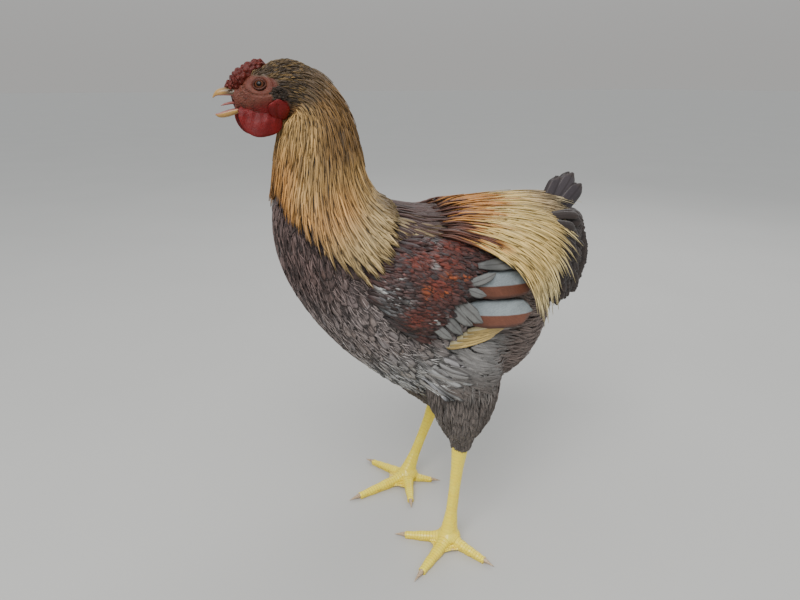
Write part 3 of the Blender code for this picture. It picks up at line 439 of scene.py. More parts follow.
# For each piece, after its cut: height of the dome as a share of the half width, thickness, roundness of
# the tip, spread of the roll about the shaft, and fray
CUTS = {
    "body_feathers": (LEAF, LEAF_AT, SEVEN, 0.05, 0.0003, 0.55, 0.06, 0.95),
    "filoplumes": (WISP, WISP_AT, THREE, 0.25, 0.0003, 0.3, 0.2, 0.0),
    "mantle": (LEAF, LEAF_AT, FIVE, 0.2, 0.0003, 0.9, 0.12, 0.3),
    "thigh_down": (WISP, WISP_AT, THREE, 0.2, 0.0003, 0.3, 0.15, 0.0),
    "down": (WISP, WISP_AT, THREE, 0.2, 0.0003, 0.3, 0.2, 0.0),
    "neck_hackle": (LANCE, LANCE_AT, THREE, 0.3, 0.0003, 0.2, 0.22, 0.0),
    "cape_hackle": (LANCE, LANCE_AT, THREE, 0.3, 0.0003, 0.2, 0.22, 0.0),
    "crown_feathers": (SHORT, WISP_AT, THREE, 0.35, 0.0002, 0.3, 0.25, 0.0),
    "face_bristles": (BRISTLE, BRISTLE_AT, THREE, 0.5, 0.0001, 0.0, 0.0, 0.0),
    "saddle_hackle": (LANCE, LANCE_AT, THREE, 0.3, 0.0003, 0.2, 0.22, 0.0),
    "wing_bow": (LEAF, LEAF_AT, THREE, 0.12, 0.0003, 0.8, 0.08, 0.3),
    "primary": (BLADE, BLADE_AT, SEVEN, 0.08, 0.0004, 0.55, 0.03, 0.12),
    "secondary": (BLADE, BLADE_AT, SEVEN, 0.08, 0.0004, 0.55, 0.03, 0.12),
    "covert": (LEAF_BLADE, BLADE_AT, SEVEN, 0.08, 0.0004, 1.0, 0.03, 0.12),
    "tail_feathers": (TAIL_BLADE, BLADE_AT, SEVEN, 0.1, 0.0004, 0.42, 0.03, 0.12),
}


def vanes(name, rng, centres, ups, half_widths, root_uv, tints, flip=1.0):
    """Many feathers as one mesh. Each is a closed blade: a row of points across its domed upper side and
    one point under its shaft, carried along its centre line and drawn in by its profile. Towards the tip
    every row is bent back at its sides by the square of the distance from the shaft, which rounds the tip,
    and by a random amount for each column, which frays it.

    centres and ups are feathers by rows by 3, tints holds named colours of feathers by rows by 3 or by 1 by
    3, and flip is -1 where the feather's sides change places.
    """
    profile, share, columns, dome, thick, roundness, roll, fray = CUTS[name]
    count, rows = centres.shape[:2]
    t = np.array(columns)
    way = unit(np.gradient(centres, axis=1))
    across = unit(np.cross(ups, way))
    turn = roll * rng.standard_normal((count, 1, 1))
    up = unit(np.cross(way, across))
    across, up = across * np.cos(turn) + up * np.sin(turn), up * np.cos(turn) - across * np.sin(turn)
    half = np.asarray(half_widths)[:, None]
    width = (half * profile)[..., None]
    torn = fray * rng.random((count, 1, len(t)))
    back = (half * share**3)[..., None] * (roundness * t**2 + torn)
    top = (centres[:, :, None] + across[:, :, None] * (width * t)[..., None]
           + up[:, :, None] * (dome * width * (1 - t**2) + thick * (1 - np.abs(t)))[..., None]
           - way[:, :, None] * back[..., None])
    under = (centres - up * thick * 0.6)[:, :, None] - way[:, :, None] * back[:, :, len(t) // 2, None, None]
    size = len(t) + 1
    ends = [np.array((k, k + 1, size - 2 - k, size - 1 - k))[::-sense] + start
            for start, sense in ((0, 1), ((rows - 1) * size, -1)) for k in range((size - 2) // 2)]
    one = np.vstack((ring_faces(rows, size), ends))
    faces = (one[None] + (np.arange(count) * rows * size)[:, None, None]).reshape(-1, 4)
    place = np.append(t, 0.0)[None, :] * np.broadcast_to(flip, (count,))[:, None] / 2 + 0.5
    uv = np.stack(np.broadcast_arrays(place[:, None, :], share[None, :, None]), axis=-1).reshape(-1, 2)
    bake = np.repeat(root_uv, rows * size, axis=0) + (uv - 0.5) * BAKE_PATCH
    values = {"lot": np.repeat(rng.random(count), rows * size)}
    for label, tint in tints.items():
        values[label] = np.broadcast_to(np.asarray(tint)[:, :, None, :], (count, rows, size, 3)).reshape(-1, 3)
    return put(name, np.concatenate((top, under), axis=2), faces, values, maps={"Lie": uv, "OFBake": bake})


def gathered(sets):
    """Parts of several sets of feathers, each put end to end; named colours are put together by name."""
    parts = list(zip(*sets))
    return [{key: np.concatenate([tint[key] for tint in part]) for key in part[0]} if isinstance(part[0], dict)
            else np.concatenate(part) for part in parts]


def root_place(p, q, strip=0.0):
    """Place of a root on the unwrap: its row as a share of the body's length and its angle round it."""
    length_share = 0.02 + 0.6 * np.asarray(p) / BODY_ROWS + strip
    return np.column_stack((length_share, (np.asarray(q) / math.pi + 1) * 0.48 + 0.02))


def course(ground, p, q, reach, heading, fall, share, sideways=0.0, stop=-0.9):
    """Rows of places for feathers that leave p, q along the formula's own length, bent towards the ground.

    The way at the root is the unit tangent times heading plus a share of straight down and a share across.
    It is solved for steps in p and q from the two tangents, and each feather is laid along those steps, cut
    short where it would pass the row stop.
    """
    tangent_p = (ground(p + STEP, q) - ground(p - STEP, q)) / (2 * STEP)
    tangent_q = (ground(p, q + STEP) - ground(p, q - STEP)) / (2 * STEP)
    way = heading * unit(tangent_p) + np.asarray(sideways)[..., None] * unit(tangent_q)
    way = way + np.asarray(fall)[..., None] * np.array((0.0, 0.0, -1.0))
    pairs = (tangent_p, tangent_p), (tangent_p, tangent_q), (tangent_q, tangent_q)
    pp, pq, qq = ((a * b).sum(-1) for a, b in pairs)
    wp, wq = (way * tangent_p).sum(-1), (way * tangent_q).sum(-1)
    det = np.maximum(pp * qq - pq**2, 1e-12)
    step_p, step_q = (wp * qq - wq * pq) / det, (wq * pp - wp * pq) / det
    pace = np.linalg.norm(step_p[:, None] * tangent_p + step_q[:, None] * tangent_q, axis=-1)
    travel = reach / pace
    passed = np.maximum(-(step_p * travel) / np.maximum(p - stop, 1e-3), 1.0)
    travel = (travel / passed)[:, None] * share
    return p[:, None] + step_p[:, None] * travel, q[:, None] + step_q[:, None] * travel


def over_thighs(points, margin):
    """Points that would sink into a thigh, moved out sideways to its oval at their height and a margin."""
    moved = points.copy()
    for side, table in THIGHS.items():
        rising = table[::-1]
        ring = (np.interp(points[..., 2], rising[:, 2], rising[:, k]) for k in (0, 1, 3, 4))
        x, y, half_length, half_width = ring
        inside = np.clip(1 - ((points[..., 0] - x) / (half_length + 0.002))**2, 0.0, 1.0)
        face = np.abs(y) + half_width * np.sqrt(inside) + margin
        fade = ease((table[0, 2] + 0.025 - points[..., 2]) / 0.04)
        reach = side * points[..., 1]
        outer = (reach > np.abs(y) - 0.004) & (inside > 0)
        moved[..., 1] = np.where(outer, side * np.maximum(reach, reach + (face - reach) * fade), moved[..., 1])
    return moved


def tract(ground, low, high, lengthwise, crosswise, rng):
    """Roots in staggered rows from row low to high of a formula, about lengthwise apart along its flank and
    crosswise apart round it. Where the formula's rows crowd together, roots are thinned out.
    """
    fine = np.linspace(low, high, 400)
    gone = run_along(ground(fine, np.full(400, TRACT_ANGLE)))
    rows = np.interp(np.arange(lengthwise / 2, gone[-1], lengthwise), gone, fine)
    turn = np.linspace(-math.pi, math.pi, 361)
    found = []
    for number, p in enumerate(rows):
        girth = run_along(ground(np.full(361, p), turn))
        count = max(int(girth[-1] / crosswise), 3)
        place = (np.arange(count) + 0.5 * (number % 2) + rng.uniform(-0.22, 0.22, count)) / count * girth[-1]
        q = np.interp(place % girth[-1], girth, turn)
        p_here = p + rng.uniform(-0.16, 0.16, count) * (rows[1] - rows[0])
        pace = np.linalg.norm(ground(p_here + STEP, q) - ground(p_here - STEP, q), axis=-1) / (2 * STEP)
        kept = rng.random(count) < np.clip(pace * abs(rows[1] - rows[0]) / lengthwise * 1.15, 0.0, 1.0)
        found.append(np.column_stack((p_here, q))[kept])
    return np.vstack(found).T


# Markings
def mixed(a, b, share):
    """Colours a to b by a share for each place."""
    return a + (b - a) * np.clip(share, 0.0, 1.0)[..., None]


def layered(base, *coats):
    """A colour with coats over it in turn, each given by its colour and its share at each place."""
    for tint, share in coats:
        base = mixed(base, tint, share)
    return base


def body_marks(at):
    """Base and edge colours of the trunk's feathers at points: slate brown on the breast, grey with dark
    edges on the flank, silver behind it, dark on the back and brownish down below the tail.
    """
    x, z = at[..., 0], at[..., 2]
    low = ease((0.34 - z + 0.45 * (x + 0.12)) / 0.08)
    flank = ease((0.262 - z) / 0.05) * ease((x + 0.118) / 0.055)
    rear = ease((x + 0.036) / 0.02) * ease((0.262 - z) / 0.03)
    down = ease((x - 0.03) / 0.045)
    top = ease((z - 0.325) / 0.016) * ease((x + 0.085) / 0.02)
    base = layered(paint("breast"), (paint("belly"), low), (paint("flank"), flank),
                   (paint("silver"), rear * ease((0.07 - x) / 0.05)), (paint("fluff"), down),
                   (paint("back"), top))
    edge = layered(paint("breast_edge"), (paint("flank_edge"), np.maximum(low, flank)),
                   (paint("silver") * 0.55, rear), (paint("fluff") * 1.25, down), (paint("back_edge"), top))
    return base, edge


def flank_share(at):
    """Share of the flank at points of the trunk."""
    return ease((0.27 - at[:, 2]) / 0.05) * ease((at[:, 0] + 0.125) / 0.05)


# Materials
def socket(tree, kind, links=(), **values):
    """A node with its named settings and inputs; links pairs an input with the output that feeds it."""
    made = tree.nodes.new(kind)
    for key, value in values.items():
        if hasattr(made, key):
            setattr(made, key, value)
        else:
            made.inputs[key.replace("_", " ")].default_value = value
    for key, source in links:
        tree.links.new(source, made.inputs[key])
    return made


def surface(name, roughness, **values):
    """A fresh material with constants set on its shader's own sockets, and its node tree."""
    made = bpy.data.materials.new(name)
    made.use_nodes = True
    shader = made.node_tree.nodes["Principled BSDF"]
    shader.inputs["Roughness"].default_value = roughness
    for key, value in values.items():
        shader.inputs[key.replace("_", " ")].default_value = value
    return made, made.node_tree


def finished(made, tone, height=None, strength=0.0, distance=0.0):
    """The material, with its colour and the bump of a height linked to its shader."""
    tree = made.node_tree
    shader = tree.nodes["Principled BSDF"]
    tree.links.new(tone, shader.inputs["Base Color"])
    if height is not None:
        bump = socket(tree, "ShaderNodeBump", (("Height", height),), Strength=strength, Distance=distance)
        tree.links.new(bump.outputs[0], shader.inputs["Normal"])
    return made


def object_place(tree):
    """Object coordinates."""
    return tree.nodes.new("ShaderNodeTexCoord").outputs["Object"]


def parts(tree, vector):
    """The three numbers of a vector."""
    return socket(tree, "ShaderNodeSeparateXYZ", ((0, vector),)).outputs


def noise(tree, place, scale, detail, roughness=0.5):
    """Output of a noise texture."""
    return socket(tree, "ShaderNodeTexNoise", (("Vector", place),), Scale=scale, Detail=detail,
                  Roughness=roughness).outputs[0]


def cells(tree, place, scale, feature="F1"):
    """Distance in a texture of cells."""
    return socket(tree, "ShaderNodeTexVoronoi", (("Vector", place),), Scale=scale, feature=feature).outputs[0]


def sums(tree, operation, a, b=None, c=None, clamp=False):
    """Output of a Math node on outputs or numbers."""
    node = tree.nodes.new("ShaderNodeMath")
    node.operation = operation
    node.use_clamp = clamp
    for slot, value in enumerate((a, b, c)):
        if value is None:
            continue
        if isinstance(value, (int, float)):
            node.inputs[slot].default_value = value
        else:
            tree.links.new(value, node.inputs[slot])
    return node.outputs[0]


def ramped(tree, value, low, high, to_low=0.0, to_high=1.0):
    """Output of a smooth Map Range node."""
    node = tree.nodes.new("ShaderNodeMapRange")
    node.interpolation_type = "SMOOTHSTEP"
    tree.links.new(value, node.inputs[0])
    for slot, number in zip((1, 2, 3, 4), (low, high, to_low, to_high)):
        node.inputs[slot].default_value = number
    return node.outputs[0]


def blended(tree, factor, a, b, kind="MIX"):
    """Output of a colour Mix node; a and b are outputs or colours."""
    node = tree.nodes.new("ShaderNodeMix")
    node.data_type = "RGBA"
    node.blend_type = kind
    for slot, value in ((0, factor), (6, a), (7, b)):
        if isinstance(value, (int, float)):
            node.inputs[slot].default_value = value
        elif isinstance(value, (tuple, list, np.ndarray)):
            node.inputs[slot].default_value = (*value, 1.0)
        else:
            tree.links.new(value, node.inputs[slot])
    return node.outputs[2]


def attribute(tree, name, output="Fac"):
    """A mesh attribute's output."""
    node = tree.nodes.new("ShaderNodeAttribute")
    node.attribute_name = name
    return node.outputs[output]


# Colours of a pale shaft, and by which a dark shaft and a dark streak multiply the feather's
PALE_SHAFT, DARK_SHAFT, STREAK = (0.6, 0.5, 0.38), (0.3, 0.26, 0.25), (0.35, 0.3, 0.26)


def feather_material(name, edge_start=0.62, edge_amount=0.8, shaft=0.25, barb=0.5, roughness=0.6, sheen=0.15,
                     streak=0.0, lower_vane=False, tip_start=0.88, root_shade=0.55):
    """Feather: its base colour runs into its edge colour near its rim, the shaft shows as a fine line,
    paler or for a negative shaft darker, and fine barbs slope from the shaft in colour and bump. With
    lower_vane the attribute lower colours the half of the feather below the shaft.
    """
    made, tree = surface(name, roughness, Specular_IOR_Level=0.35, Sheen_Weight=sheen, Sheen_Roughness=0.4)
    across, along, _ = parts(tree, socket(tree, "ShaderNodeUVMap", uv_map="Lie").outputs[0])
    away = sums(tree, "ABSOLUTE", sums(tree, "MULTIPLY_ADD", across, 2.0, -1.0))
    lot = attribute(tree, "lot")
    slope = sums(tree, "MULTIPLY_ADD", away, -0.55, sums(tree, "MULTIPLY", along, 2.2))
    grain = socket(tree, "ShaderNodeCombineXYZ", (("X", slope), ("Y", sums(tree, "MULTIPLY", across, 0.6)),
                                                  ("Z", sums(tree, "MULTIPLY", lot, 40.0)))).outputs[0]
    barbs, cloud = noise(tree, grain, 26.0, 3.0, 0.7), noise(tree, grain, 2.2, 2.0)
    fray = sums(tree, "SUBTRACT", barbs, 0.5)
    rim = ramped(tree, sums(tree, "MULTIPLY_ADD", fray, 0.3, away), edge_start, min(edge_start + 0.28, 1.03))
    tip = ramped(tree, sums(tree, "MULTIPLY_ADD", fray, 0.12, along), tip_start, tip_start + 0.09)
    side = sums(tree, "MULTIPLY", rim, ramped(tree, along, 0.25, 0.6))
    edging = sums(tree, "MULTIPLY", sums(tree, "MAXIMUM", side, tip), edge_amount)
    base = attribute(tree, "base", "Color")
    if lower_vane:
        base = blended(tree, ramped(tree, across, 0.46, 0.41), base, attribute(tree, "lower", "Color"))
    tone = blended(tree, edging, base, attribute(tree, "edge", "Color"))
    if streak:
        line = sums(tree, "MULTIPLY", ramped(tree, away, 0.55, 0.05), streak)
        tone = blended(tree, line, tone, blended(tree, 1.0, tone, STREAK, "MULTIPLY"))
    if shaft:
        quill = sums(tree, "MULTIPLY", ramped(tree, away, 0.17, 0.05), abs(shaft))
        drawn = (0.6, tone, PALE_SHAFT, "MIX") if shaft > 0 else (1.0, tone, DARK_SHAFT, "MULTIPLY")
        tone = blended(tree, quill, tone, blended(tree, *drawn))
    light = sums(tree, "ADD", ramped(tree, barbs, 0.25, 0.75, 1.0 - 0.45 * barb, 1.0 + 0.35 * barb),
                 sums(tree, "MULTIPLY_ADD", lot, 0.3, -0.15))
    light = sums(tree, "MULTIPLY", light, ramped(tree, cloud, 0.2, 0.8, 0.84, 1.14))
    # painted shade: each feather darkens towards its root by root_shade, partly the darker down of its base and
    # partly painted shade of the feathers lying over it
    light = sums(tree, "MULTIPLY", light, ramped(tree, along, 0.0, 0.45, root_shade, 1.0))
    lit = socket(tree, "ShaderNodeVectorMath", ((0, tone), ("Scale", light)), operation="SCALE").outputs[0]
    return finished(made, lit, barbs, 0.35 * barb, 0.0004)


def dress(made, material, nodes=()):
    """Gives a piece its material, its place on the body root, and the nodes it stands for."""
    made.data.materials.clear()
    made.data.materials.append(material)
    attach(made, "root")
    if nodes:
        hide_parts(*nodes)
    return made


def skin_depth(u):
    """How far the skin lies under the formula: the coat's depth on trunk and neck, none on the face."""
    depth = plumage().coat_depth
    return np.interp(u, (-1.0, 2.0, 11.0, 13.0, 16.5, 17.6, 18.6), (0.6, 1.0, 1.0, 0.95, 0.5, 0.2, 0.0)) * depth


def bare_share(at):
    """Share of bare red skin at points of the head: the face from beak to ear, and round the earlobe."""
    x, z = at[..., 0], at[..., 2]
    edge = -0.144 - 0.45 * np.maximum(z - 0.474, 0.0) - 0.1 * np.maximum(0.462 - z, 0.0)
    brow = ease((0.4848 - 0.1 * (x + 0.162) - z) / 0.0025)
    lobe = ease((0.0105 - np.hypot(x + 0.147, z - 0.458)) / 0.003)
    ear = ease((np.hypot(x - EAR_PLACE[0], z - EAR_PLACE[1]) - 0.0034) / 0.0016)
    return np.maximum(ease((edge - x) / 0.0045) * brow, lobe) * ear


def mouth_share(at):
    """Share of the mouth's lining at points: the hollow between the two halves of the beak."""
    x, y, z = at[..., 0], at[..., 1], at[..., 2]
    middle = 0.4632 + 0.1 * (x + 0.18)
    inside = ease((0.0042 - np.abs(z - middle)) / 0.0012) * ease((0.0066 - np.abs(y)) / 0.0012)
    return inside * ease((-0.166 - x) / 0.002)


def face_form(u, angle, at):
    """Lift of the face off the formula: sockets behind the lids, a brow, folds below the eye, the cup of
    the ear and fine grains and creases of the cheek, each a hump or a ripple of the distance from its own
    place.
    """
    lift = np.zeros(at.shape[:-1])
    for side in (-1, 1):
        near = (np.sign(at[..., 1]) == side)
        dx, dz = at[..., 0] - EYE_PLACE[0], at[..., 2] - EYE_PLACE[1]
        oval = np.hypot(dx / 0.0056, dz / 0.0044)
        bend = oval + 0.1 * np.sin(np.arctan2(dz, dx) * 3 + 0.7)
        lift += near * (-0.0062 * ease(1.3 - oval) + 0.0005 * hump((bend - 1.7) / 0.45)
                        - 0.0004 * hump((bend - 2.1) / 0.22)
                        + 0.0004 * hump((bend - 2.45) / 0.3) * (dz < 0.002))
        lift += near * 0.0015 * hump((dz - 0.008 + 0.15 * dx) / 0.0032) * hump((dx + 0.001) / 0.013)
        lift += near * 0.0011 * hump((dz + 0.0125) / 0.006) * hump((dx - 0.002) / 0.014)
        ex, ez = at[..., 0] - EAR_PLACE[0], at[..., 2] - EAR_PLACE[1]
        cup = np.hypot(ex / 0.003, ez / 0.0036)
        lift += near * (-0.0024 * hump(cup) + 0.0007 * hump((cup - 1.3) / 0.5))
        crease = np.sin((dx * 0.8 - dz * 1.3 + 0.0006 * np.sin(dx / 0.0014)) / 0.0005)
        crease = crease * np.sin((dx * 1.1 + dz * 0.5) / 0.0013 + 1.0)
        grain = np.sin(dx / 0.00034 + 2.0 * np.sin(dz / 0.0009))
        grain = grain * np.sin(dz / 0.00037 + 2.0 * np.sin(dx / 0.0011))
        lift += near * (0.00022 * crease + 0.00012 * grain) * ease((oval - 1.6) / 0.6) * bare_share(at)
    return lift


def build_skin():
    """One skin over trunk, neck, head and thighs: rings of the body's formula, sunk by the coat's depth,
    with the face raised in relief. The thighs and the collars round both halves of the beak are joined on
    by unions, and the mouth is cut out. The marks are then worked out again at every point from its place.
    """
    stations = np.concatenate((np.linspace(-0.93, 11.0, 56), np.linspace(11.2, 16.4, 30),
                               np.linspace(16.5, 21.25, 112)))
    u, angle = np.meshgrid(stations, around(168), indexing="ij")
    at = trunk(u, angle)
    raised = face_form(u, angle, at) - skin_depth(u)
    rings = at + outward(trunk, u, angle) * raised[..., None]
    last, middle = rings[-1], rings[-1].mean(axis=0)
    shrink = np.cos(np.linspace(0.0, math.pi / 2, 14))[1:-1]
    front = [middle + (last - middle) * k + np.array((-0.002 * math.sqrt(1 - k * k), 0, 0)) for k in shrink]
    body = loft("skin", np.concatenate((rings, np.array(front))))
    for side in (-1, 1):
        v, q = grid(0.15, 5.0, 30, 48)
        sunk = np.interp(v, (0.0, 3.0, 4.5, 5.0), (0.005, 0.005, 0.0025, 0.001))
        join(body, loft("limb", lifted(thigh(side), v, q, -sunk)))
    for top, low, size in ((BEAK_TOP, BEAK_ROOF, 1.0), (JAW_TOP, JAW_LOW, 0.92)):
        join(body, collar(top, low, size))
    join(body, mouth(), "DIFFERENCE")
    points = point_values(body.data) - SHIFT
    base, _ = body_marks(points)
    base = mixed(base, paint("umber") * 1.6, ease((points[:, 2] - 0.375) / 0.03))
    low = ease((0.205 - points[:, 2]) / 0.04) * ease((np.abs(points[:, 1]) - 0.02) / 0.01)
    base = mixed(base, paint("thigh"), low)
    flush = ease((0.465 + 0.25 * (points[:, 0] + 0.165) - points[:, 2]) / 0.009)
    mark(body.data, {"base": base, "bare": bare_share(points), "gape": mouth_share(points), "flush": flush})
    body.data.shade_smooth()
    return body


def collar(top, low, size):
    """Skin round the root of one half of the beak: rings a little wider than the horn, thin in front."""
    table = np.column_stack((top, low, np.array(BEAK_HALF) * size))
    s, turn = grid(-1.6, 1.35, 34, 48)
    row = rows_at(table, s)
    extra = np.interp(s, (-1.6, 0.0, 0.6, 1.1, 1.35), (0.004, 0.0028, 0.0011, 0.0006, 0.0001))
    half_x, half_z = (row[..., 0] - row[..., 2]) / 2, (row[..., 1] - row[..., 3]) / 2
    x = (row[..., 0] + row[..., 2]) / 2 + half_x * np.sin(turn)
    z = (row[..., 1] + row[..., 3]) / 2 + (half_z + np.sign(half_z) * extra) * np.sin(turn)
    c = np.cos(turn)
    y = (np.minimum(row[..., 4], 0.0082) + extra * 0.8) * signed_power(c, 0.85)
    slant = 0.0016 * np.abs(np.sin(turn)) * ease(s)
    return loft("collar", np.stack((x + slant, y, z), axis=-1))


def mouth():
    """Hollow of the mouth: a flat tapering body from in front of the face to the throat."""
    s, turn = grid(0.0, 1.0, 24, 36)
    half = np.interp(s, (0.0, 0.5, 0.85, 1.0), (0.0068, 0.0062, 0.0045, 0.001))
    tall = np.interp(s, (0.0, 0.5, 0.85, 1.0), (0.0034, 0.003, 0.002, 0.0005))
    z = 0.4631 + 0.0012 * s + tall * np.sin(turn)
    return loft("mouth", np.stack((-0.186 + 0.02 * s, half * np.cos(turn), z), axis=-1))


def apply_modifiers(made):
    """Gives an object the mesh that its modifiers make, in their place."""
    mesh = bpy.data.meshes.new_from_object(made.evaluated_get(bpy.context.evaluated_depsgraph_get()))
    made.modifiers.clear()
    made.data = mesh


def join(target, other, operation="UNION"):
    """Union of other into target or its cut from it, applied, with other removed."""
    cut = target.modifiers.new("join", "BOOLEAN")
    cut.operation = operation
    cut.solver = "MANIFOLD"
    cut.object = other
    apply_modifiers(target)
    bpy.data.objects.remove(other)


def skin_material():
    """Skin: dull and the coat's colour under feathers, red and grainy on the face, pink in the mouth."""
    made, tree = surface("bare_skin", 0.55, Specular_IOR_Level=0.4, Subsurface_Weight=0.12,
                         Subsurface_Radius=(0.004, 0.0012, 0.0008), Subsurface_Scale=1.0)
    place = object_place(tree)
    grain, patch, bare = cells(tree, place, 1500.0), noise(tree, place, 180.0, 4.0), attribute(tree, "bare")
    red = blended(tree, ramped(tree, patch, 0.3, 0.75), flesh("face"), flesh("face") * (1.35, 1.9, 1.9))
    red = blended(tree, ramped(tree, grain, 0.1, 0.6, 0.0, 0.35), red, flesh("face") * 0.45)
    red = blended(tree, attribute(tree, "flush"), red, flesh("wattle"))
    tone = blended(tree, bare, attribute(tree, "base", "Color"), red)
    tone = blended(tree, ramped(tree, attribute(tree, "gape"), 0.15, 0.6), tone, flesh("mouth") * 0.55)
    return finished(made, tone, sums(tree, "MULTIPLY", sums(tree, "ADD", grain, patch), bare), 0.7, 0.0004)


# Body feathers
def make_contour():
    """Rounded feathers over the trunk in staggered rows, each lying back over the roots of the next. Those
    of the flank are long and reach over the front of the thigh. Each is tilted a little, so that it lies
    over the feather on one side of it and under the one on the other.
    """
    size, rng = plumage(), draws(0)
    p, q = tract(trunk, 0.9, 12.9, size.breast_length * 0.36, size.breast_width * 0.54, rng)
    q = q + spread(rng, 0.02, len(q))
    at = trunk(p, q)
    x, z = at[:, 0], at[:, 2]
    under_wing = ease((0.058 - np.abs(x + 0.012)) / 0.01) * ease((0.318 - z) / 0.01) * ease((z - 0.27) / 0.01)
    soft = ((x > -0.034) & (z < 0.25)) | ((x > 0.052) & (z < 0.33))
    under_saddle = (p < 3.0) & (np.abs(q) < 0.75)
    kept = (p <= cape_hem(q) + 1.1) & (under_wing < 0.5) & ~soft & ~under_saddle
    p, q, at = p[kept], q[kept], at[kept]
    x, z, count = at[:, 0], at[:, 2], len(p)
    flank = flank_share(at)
    reach = size.breast_length * (0.84 + 0.62 * flank + 0.18 * rng.uniform(-1, 1, count))
    wide = size.breast_width / 2 * (0.94 + 0.06 * flank + 0.18 * rng.uniform(-1, 1, count))
    fall = np.where(z > 0.2, 0.1, 0.02) - 0.16 * flank + spread(rng, 0.1, count)
    pp, qq = course(trunk, p, q, reach, -1.0, fall, LEAF_AT, spread(rng, 0.12, count))
    rise = size.coat_depth * (-0.72 + 0.74 * ease(LEAF_AT * 1.1)) + spread(rng, 0.0003, count, 1) * LEAF_AT
    rise = rise + (0.0016 * LEAF_AT**3)[None] * (rng.random((count, 1)) > 0.88)
    centres = over_thighs(lifted(trunk, pp, qq, rise), 0.0016)
    ups = outward(trunk, pp, qq)
    ups = unit(ups + 0.13 * np.sign(q)[:, None, None] * unit(np.cross(ups, np.gradient(centres, axis=1))))
    base, edge = body_marks(at)
    # about a fifth of the flank feathers are lighter and lilac: partly paler feathers of their own, partly
    # painted highlights of the flank's sheen
    lilac_highlight = (flank * (rng.random(count) < 0.22))[:, None]
    vary = varied(rng, 0.11, count, 1) * (1 + lilac_highlight * np.array((0.2, 0.21, 0.28)))
    warm = 1 + spread(rng, 0.03, count, 1) * np.array((1.0, 0.0, -1.0))
    dusk = 1 - 0.52 * ease((z - 0.322) / 0.03) * ease((-0.07 - x) / 0.03)
    tone = (base * vary * warm * dusk[:, None])[:, None]
    tone = tone * (1 + 0.2 * np.sin(LEAF_AT * math.pi) * (1 - 0.5 * flank[:, None]))[..., None]
    return vanes("body_feathers", rng, centres, ups, wide, root_place(p, q),
                 {"base": tone, "edge": edge[:, None]})


def make_mantle():
    """Narrow feathers that come out from under the cape on the back, many of them edged in pale straw."""
    rng = draws(9)
    count = 760
    q = rng.uniform(-1.45, 1.45, count)
    p = cape_hem(q) + 0.9 - rng.random(count)**1.2 * 2.4
    reach = rng.uniform(0.02, 0.034, count)
    pp, qq = course(trunk, p, q, reach, -1.0, 0.14 + spread(rng, 0.1, count), LEAF_AT)
    rise = -0.0028 + 0.0048 * ease(LEAF_AT * 1.3) + spread(rng, 0.0005, count, 1) * LEAF_AT
    base = paint("back") * (0.95, 0.85, 0.8) * varied(rng, 0.32, count, 1, 1)
    stroke = (rng.random(count) < 0.2) * rng.uniform(0.4, 0.9, count) * ease((np.abs(q) - 0.3) / 0.4)
    base = mixed(base, paint("straw_pale"), stroke[:, None])
    pale = (rng.random(count) < 0.5) * rng.uniform(0.3, 1.0, count) * ease((np.abs(q) - 0.3) / 0.5)
    edge = mixed(paint("back_edge") * 0.7, paint("straw_pale"), pale)[:, None]
    return vanes("mantle", rng, lifted(trunk, pp, qq, rise), outward(trunk, pp, qq),
                 rng.uniform(0.0013, 0.0024, count), root_place(p, q), {"base": base, "edge": edge})


CAPE_HEM = np.array((8.0, 8.0, 8.2, 8.3, 8.8, 10.75, 11.65, 12.4, 12.8))


def cape_hem(angle):
    """Station at which the cape ends, from the ridge round to the throat."""
    return np.interp(np.abs(angle) / math.pi * (len(CAPE_HEM) - 1), np.arange(len(CAPE_HEM)), CAPE_HEM)


def soft_marks(at):
    """Colour of the down at points: silver over the thigh's top, brownish grey below it, brown behind."""
    x, z, wide = at[..., 0], at[..., 2], np.abs(at[..., 1])
    bright = 0.62 + 0.38 * hump((x - 0.006) / 0.022) * hump((z - 0.232) / 0.02)
    dark = ease((0.216 - z + 0.35 * (0.03 - x)) / 0.036) * ease((0.075 - x) / 0.02)
    inner = ease((0.045 - wide) / 0.02) * ease((0.21 - z) / 0.02)
    return layered(paint("silver") * bright[..., None], (paint("fluff"), ease((x - 0.026) / 0.03)),
                   (paint("thigh"), dark), (paint("belly") * 0.8, inner))


def make_thighs():
    """Down of each thigh: many narrow soft tufts drawn together in small locks, shorter near the hock."""
    rng = draws(1)
    sets = []
    for side in (-1, 1):
        ground = thigh(side)
        count = plumage().thigh_count
        p = 0.35 + 4.5 * rng.random(count)**0.9
        q = rng.uniform(-math.pi, math.pi, count)
        at = ground(p, q)
        down = p / 5.0
        reach = (0.021 - 0.009 * down) * rng.uniform(0.75, 1.2, count)
        reach = np.minimum(reach, np.maximum((at[:, 2] - THIGHS[side][-1, 2]) * 1.05 + 0.004, 0.006))
        pp, qq = course(ground, p, q, reach, 1.0, np.zeros(count), WISP_AT, spread(rng, 0.13, count))
        lock = (np.round(q * 5 + rng.uniform(-0.4, 0.4, count)) / 5 - q)[:, None] * ease(WISP_AT) * 0.35
        rise = -0.0034 + (0.0036 + spread(rng, 0.0004, count, 1)) * ease(WISP_AT * 1.3)
        rise = rise + 0.0005 * np.sin(q * 7 + p * 5)[:, None] * WISP_AT
        base = soft_marks(at) * varied(rng, 0.09, count, 1)
        base = base * (1 + 0.14 * np.sin(q * 4 + 3 * np.sin(p * 2.1) + side))[:, None]
        base = np.where((rng.random(count) < 0.03)[:, None], base * 1.5, base)
        sets.append((lifted(ground, pp, qq + lock, rise), outward(ground, pp, qq),
                     rng.uniform(0.001, 0.0021, count), root_place(p, q * 0.5, 0.62 + 0.12 * (side > 0)),
                     {"base": base[:, None], "edge": base[:, None] * 1.15}))
    return vanes("thigh_down", rng, *gathered(sets))


